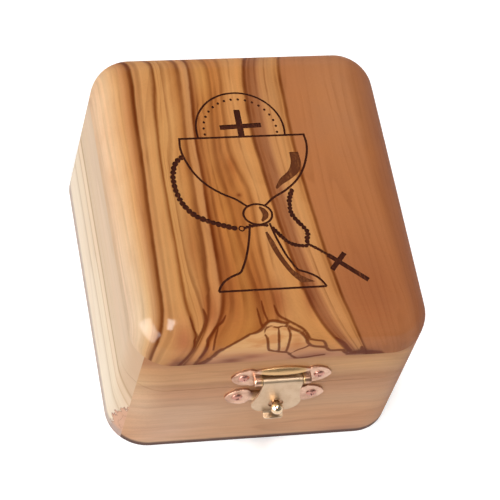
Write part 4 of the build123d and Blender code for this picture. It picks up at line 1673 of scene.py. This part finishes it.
LID_WOOD = CathedralFinish(
    name="lid_olive_wood",
    grounds=tones_at(
        (-45.0, 232, 196, 160), (-39.5, 228, 188, 146), (-35.0, 218, 168, 116), (-33.4, 208, 153, 104),
        (-31.8, 178, 120, 72), (-30.5, 160, 102, 56), (-30.1, 208, 153, 100), (-28.4, 212, 158, 103),
        (-26.6, 204, 150, 95), (-25.5, 180, 120, 66), (-24.4, 206, 152, 95), (-20.5, 208, 154, 97),
        (-18.6, 190, 130, 74), (-17.4, 204, 146, 92), (-16.0, 206, 148, 96), (-15.4, 164, 100, 54),
        (-13.2, 188, 124, 68), (-10.6, 198, 134, 72), (-8.4, 184, 118, 62), (-6.0, 198, 134, 76),
        (-2.6, 210, 154, 98), (0.3, 204, 144, 86), (0.9, 158, 100, 62), (4.2, 172, 116, 78), (5.6, 202, 146, 95),
        (8.6, 208, 152, 97), (11.0, 194, 134, 78), (12.0, 184, 122, 78), (30.0, 180, 120, 78), (34.0, 162, 102, 62),
        (45.0, 156, 100, 70),
    ),
    streaks=streaks_at(
        (-48.6, 0.6, 0.8, 0.8, 0.16), (-30.5, 0.5, 0.9, 0.3, 0.88), (-29.2, 0.4, 0.5, 0.5, 0.3),
        (-25.5, 0.35, 0.7, 0.5, 0.68), (-21.5, 0.3, 0.4, 0.8, 0.42), (-18.0, 0.4, 0.7, 0.4, 0.75),
        (-15.5, 0.45, 0.4, 0.9, 0.92), (-9.0, 0.3, 1.4, 0.35, 0.52), (-5.5, 0.25, 0.4, 1.0, 0.55),
        (0.6, 0.45, 0.35, 0.6, 0.9), (11.3, 0.5, 0.5, 0.3, 0.92),
    ),
    faint=streaks_at(
        (-23.4, 0.12, 0.5, 0.14, 0.32), (-20.0, 0.12, 0.14, 0.5, 0.26), (-13.6, 0.2, 0.3, 0.6, 0.55),
        (-11.4, 0.16, 0.14, 0.8, 0.4), (-7.4, 0.14, 0.7, 0.14, 0.45), (-2.6, 0.14, 0.6, 0.14, 0.4),
        (2.0, 0.24, 0.3, 0.3, 0.5), (3.8, 0.2, 0.3, 0.4, 0.4), (6.8, 0.2, 0.4, 0.2, 0.45),
        (10.0, 0.16, 0.4, 0.16, 0.4),
    ),
    streak_tone=tone(110, 48, 4),
    low=-52.0,
    wander=0.4,
    ring_strength=0.16,
    ring_count=12.0,
    band_strength=0.09,
    calm_from=12.0,
    # The dark patches along the panel's lower front edge on its left half, where it meets the rail, are partly the
    # wood's brown figure and partly painted shade along that seam.
    patches=patches_at(
        ((-22.0, -19.0), (2.6, 10.0), (0.86, 0.76, 0.74)), ((-20.5, -37.0), (3.0, 7.0), (0.74, 0.56, 0.52)),
        ((-13.6, -29.0), (2.2, 13.0), (0.76, 0.64, 0.62)), ((-1.8, -35.0), (2.6, 6.0), (0.62, 0.44, 0.42)),
        ((-21.0, 29.0), (3.0, 9.0), (1.04, 1.06, 1.10)), ((-6.5, -33.0), (2.0, 8.0), (0.82, 0.72, 0.74)),
        ((6.6, -35.0), (1.6, 5.0), (0.68, 0.54, 0.54)), ((-7.0, 7.0), (1.4, 3.6), (0.80, 0.68, 0.62)),
        ((-6.5, -2.4), (0.7, 0.6), (0.50, 0.34, 0.32)), ((-11.0, 14.0), (3.6, 12.0), (0.90, 0.93, 1.12)),
        ((-11.5, 38.0), (3.4, 8.0), (1.10, 1.30, 1.60)), ((8.6, 34.0), (2.4, 16.0), (0.84, 0.82, 0.84)),
        ((28.0, 28.0), (11.0, 18.0), (1.06, 1.18, 1.36)), ((24.0, -34.0), (12.0, 17.0), (0.80, 0.72, 0.74)),
        ((-37.0, -34.0), (4.5, 20.0), (1.0, 1.16, 1.36)), ((-27.8, -47.0), (2.8, 6.5), (0.76, 0.58, 0.66)),
        ((-29.2, -55.8), (3.6, 2.4), (0.64, 0.52, 0.62)), ((-20.6, -48.5), (1.2, 4.2), (1.30, 1.42, 1.60)),
        ((-24.0, -57.9), (8.0, 1.2), (0.60, 0.52, 0.56)), ((-29.5, -56.6), (4.6, 2.2), (0.76, 0.68, 0.72)),
        ((-14.4, -56.6), (3.2, 1.6), (0.52, 0.38, 0.36)), ((-9.4, -55.0), (3.2, 1.2), (0.68, 0.54, 0.56)),
        ((4.2, -57.3), (2.6, 0.9), (0.56, 0.42, 0.42)), ((2.4, -49.6), (1.7, 2.6), (0.84, 0.68, 0.60)),
        ((8.0, -56.0), (4.5, 1.3), (0.68, 0.55, 0.58)), ((21.5, -56.4), (4.2, 2.0), (0.52, 0.42, 0.50)),
        ((31.0, -53.0), (4.5, 5.0), (0.86, 0.84, 0.84)),
    ),
)

FRONT_WOOD = WoodFinish(
    name="front_olive_wood",
    grounds=tones_at(
        (-45.0, 213, 172, 138), (2.0, 213, 172, 138), (12.0, 213, 168, 131), (20.0, 209, 167, 133),
        (28.0, 203, 157, 123), (33.0, 193, 148, 113), (35.0, 202, 158, 120), (42.0, 199, 151, 109),
        (46.0, 185, 133, 95),
    ),
    streak_tone=tone(146, 90, 58),
    wander=3.0,
    ring_strength=0.17,
    ring_count=7.0,
    fibre_strength=0.07,
    pore_strength=0.25,
    warmth=tone(206, 142, 96),
    band_strength=0.05,
    slant=1.4,
    # The pale patches low on the left half and at the left end are a painted sheen, the window's reflection in the
    # lacquer. The thin dark one along the bottom at the right is painted contact shadow, and the narrow dark one at
    # the right end is painted shade where the face turns towards the corner.
    patches=patches_at(
        ((-24.0, 14.0), (13.0, 9.0), (1.06, 1.18, 1.38)), ((-27.0, 6.0), (8.0, 5.0), (1.11, 1.16, 1.26)),
        ((-37.0, 27.0), (6.0, 9.0), (1.22, 1.42, 1.52)), ((26.0, 7.0), (12.0, 7.0), (0.92, 0.84, 0.80)),
        ((25.0, 2.4), (7.0, 1.4), (0.80, 0.76, 0.84)), ((22.0, 39.5), (14.0, 3.6), (1.12, 1.18, 1.14)),
        ((-22.0, 37.0), (13.0, 5.0), (1.12, 1.12, 1.08)), ((37.5, 22.0), (2.6, 24.0), (0.72, 0.64, 0.70)),
    ),
    # A strong painted contact shadow along the bottom edge.
    foot_shadow_share=0.97,
    foot_shadow_tone=tone(100, 75, 69),
    foot_shadow_span=(2.3, 1.1),
)

LEFT_WOOD = SapwoodFinish(
    name="left_olive_sapwood",
    grounds=tones_at(
        (-45.0, 243, 229, 208), (4.0, 243, 229, 208), (11.0, 243, 227, 206), (13.0, 237, 220, 197),
        (14.0, 220, 198, 169), (15.0, 241, 225, 201), (20.4, 241, 222, 197), (21.2, 214, 185, 151),
        (22.0, 243, 220, 192), (25.0, 239, 216, 188), (25.8, 218, 192, 160), (26.4, 193, 159, 127),
        (27.2, 225, 201, 172), (38.0, 229, 203, 176), (46.0, 220, 192, 163),
    ),
    streak_tone=tone(182, 142, 110),
    wander=1.0,
    ring_strength=0.16,
    ring_count=6.0,
    fibre_strength=0.04,
    pore_strength=0.10,
    warmth=tone(230, 188, 154),
    warmth_share=0.25,
    band_strength=0.03,
    slant=1.3,
    # A broad painted contact shadow along the bottom edge.
    foot_shadow_share=0.8,
    foot_shadow_tone=tone(182, 162, 154),
    foot_shadow_span=(4.4, 1.8),
)

RIGHT_WOOD = WoodFinish(
    name="right_olive_heartwood",
    grounds=tones_at(
        (-45.0, 204, 159, 127), (10.0, 202, 157, 125), (24.0, 193, 146, 112), (36.0, 189, 138, 102),
        (46.0, 183, 129, 91),
    ),
    streaks=streaks_at((9.0, 0.3, 1.8, 0.5, 0.4), (33.5, 0.3, 0.5, 1.6, 0.5)),
    wander=2.4,
    ring_count=8.0,
    fibre_strength=0.08,
)

BACK_WOOD = WoodFinish(
    name="back_olive_wood",
    grounds=tones_at(
        (-45.0, 214, 170, 130), (8.0, 212, 165, 123), (20.0, 204, 153, 110), (33.0, 206, 157, 112),
        (46.0, 191, 138, 97),
    ),
    streaks=streaks_at((14.5, 0.3, 1.6, 0.4, 0.55), (24.5, 0.3, 0.4, 1.4, 0.45), (39.0, 0.4, 1.2, 0.4, 0.6)),
    wander=2.8,
    fibre_strength=0.08,
)

FLOOR_WOOD = WoodFinish(
    name="floor_olive_wood",
    grounds=tones_at(
        (-45.0, 206, 158, 112), (-20.0, 200, 150, 102), (0.0, 208, 160, 112), (24.0, 196, 144, 98),
        (45.0, 202, 152, 106),
    ),
    streaks=streaks_at((-13.0, 0.4, 1.8, 0.5, 0.55), (17.5, 0.4, 0.5, 2.0, 0.5)),
    wander=2.0,
    ring_count=10.0,
)

BURNT = BurntFinish("burnt_line", tone(58, 22, 10), tone(116, 60, 30))
SCORCHED = BurntFinish("scorched_shade", tone(92, 46, 20), tone(146, 88, 44))

PLATE_BRASS = MetalFinish(
    "pale_plated_brass",
    tone(204, 166, 142),
    tone(146, 102, 76),
    0.32,
    relief=0.008,
    tarnish=0.4,
    edge=0.2,
    inner=tone(202, 164, 118),
)
FLAP_BRASS = MetalFinish("matt_flap_brass", tone(192, 166, 138), tone(166, 136, 104), 0.42, grain=5.5, relief=0.02)
BALL_BRASS = MetalFinish("polished_ball_brass", tone(224, 200, 168), tone(196, 162, 124), 0.18, 0.04, relief=0.001)
PIN_BRASS = MetalFinish("pin_brass", tone(214, 184, 128), tone(184, 148, 92), 0.22)
SCREW_BRASS = MetalFinish("coppered_screw_brass", tone(196, 142, 126), tone(138, 88, 76), 0.30)
HINGE_BRASS = MetalFinish("hinge_leaf_brass", tone(232, 200, 130), tone(200, 160, 90), 0.30)
HINGE_PIN_BRASS = MetalFinish("hinge_pin_brass", tone(236, 206, 138), tone(204, 166, 96), 0.24)
HINGE_SCREW_BRASS = MetalFinish("hinge_screw_brass", tone(228, 194, 124), tone(190, 150, 84), 0.32)


def main() -> None:
    """Builds the whole box in order."""
    logging.basicConfig(level=logging.INFO, format="%(name)s: %(message)s")
    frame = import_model()
    nodes = frame["nodes"]
    Studio().build()
    Carcass(FRONT_WOOD, BACK_WOOD, LEFT_WOOD, RIGHT_WOOD, FLOOR_WOOD).build(nodes)
    panel = LidPanel().build(LID_WOOD.panel(), BURNT.material(), SCORCHED.material())
    settle(panel, "lid", "lid_panel")
    Clasp(PLATE_BRASS, FLAP_BRASS, BALL_BRASS, PIN_BRASS, SCREW_BRASS).build(nodes)
    Hinges(HINGE_BRASS, HINGE_PIN_BRASS, HINGE_SCREW_BRASS).build(nodes)


if __name__ == "__main__":
    main()
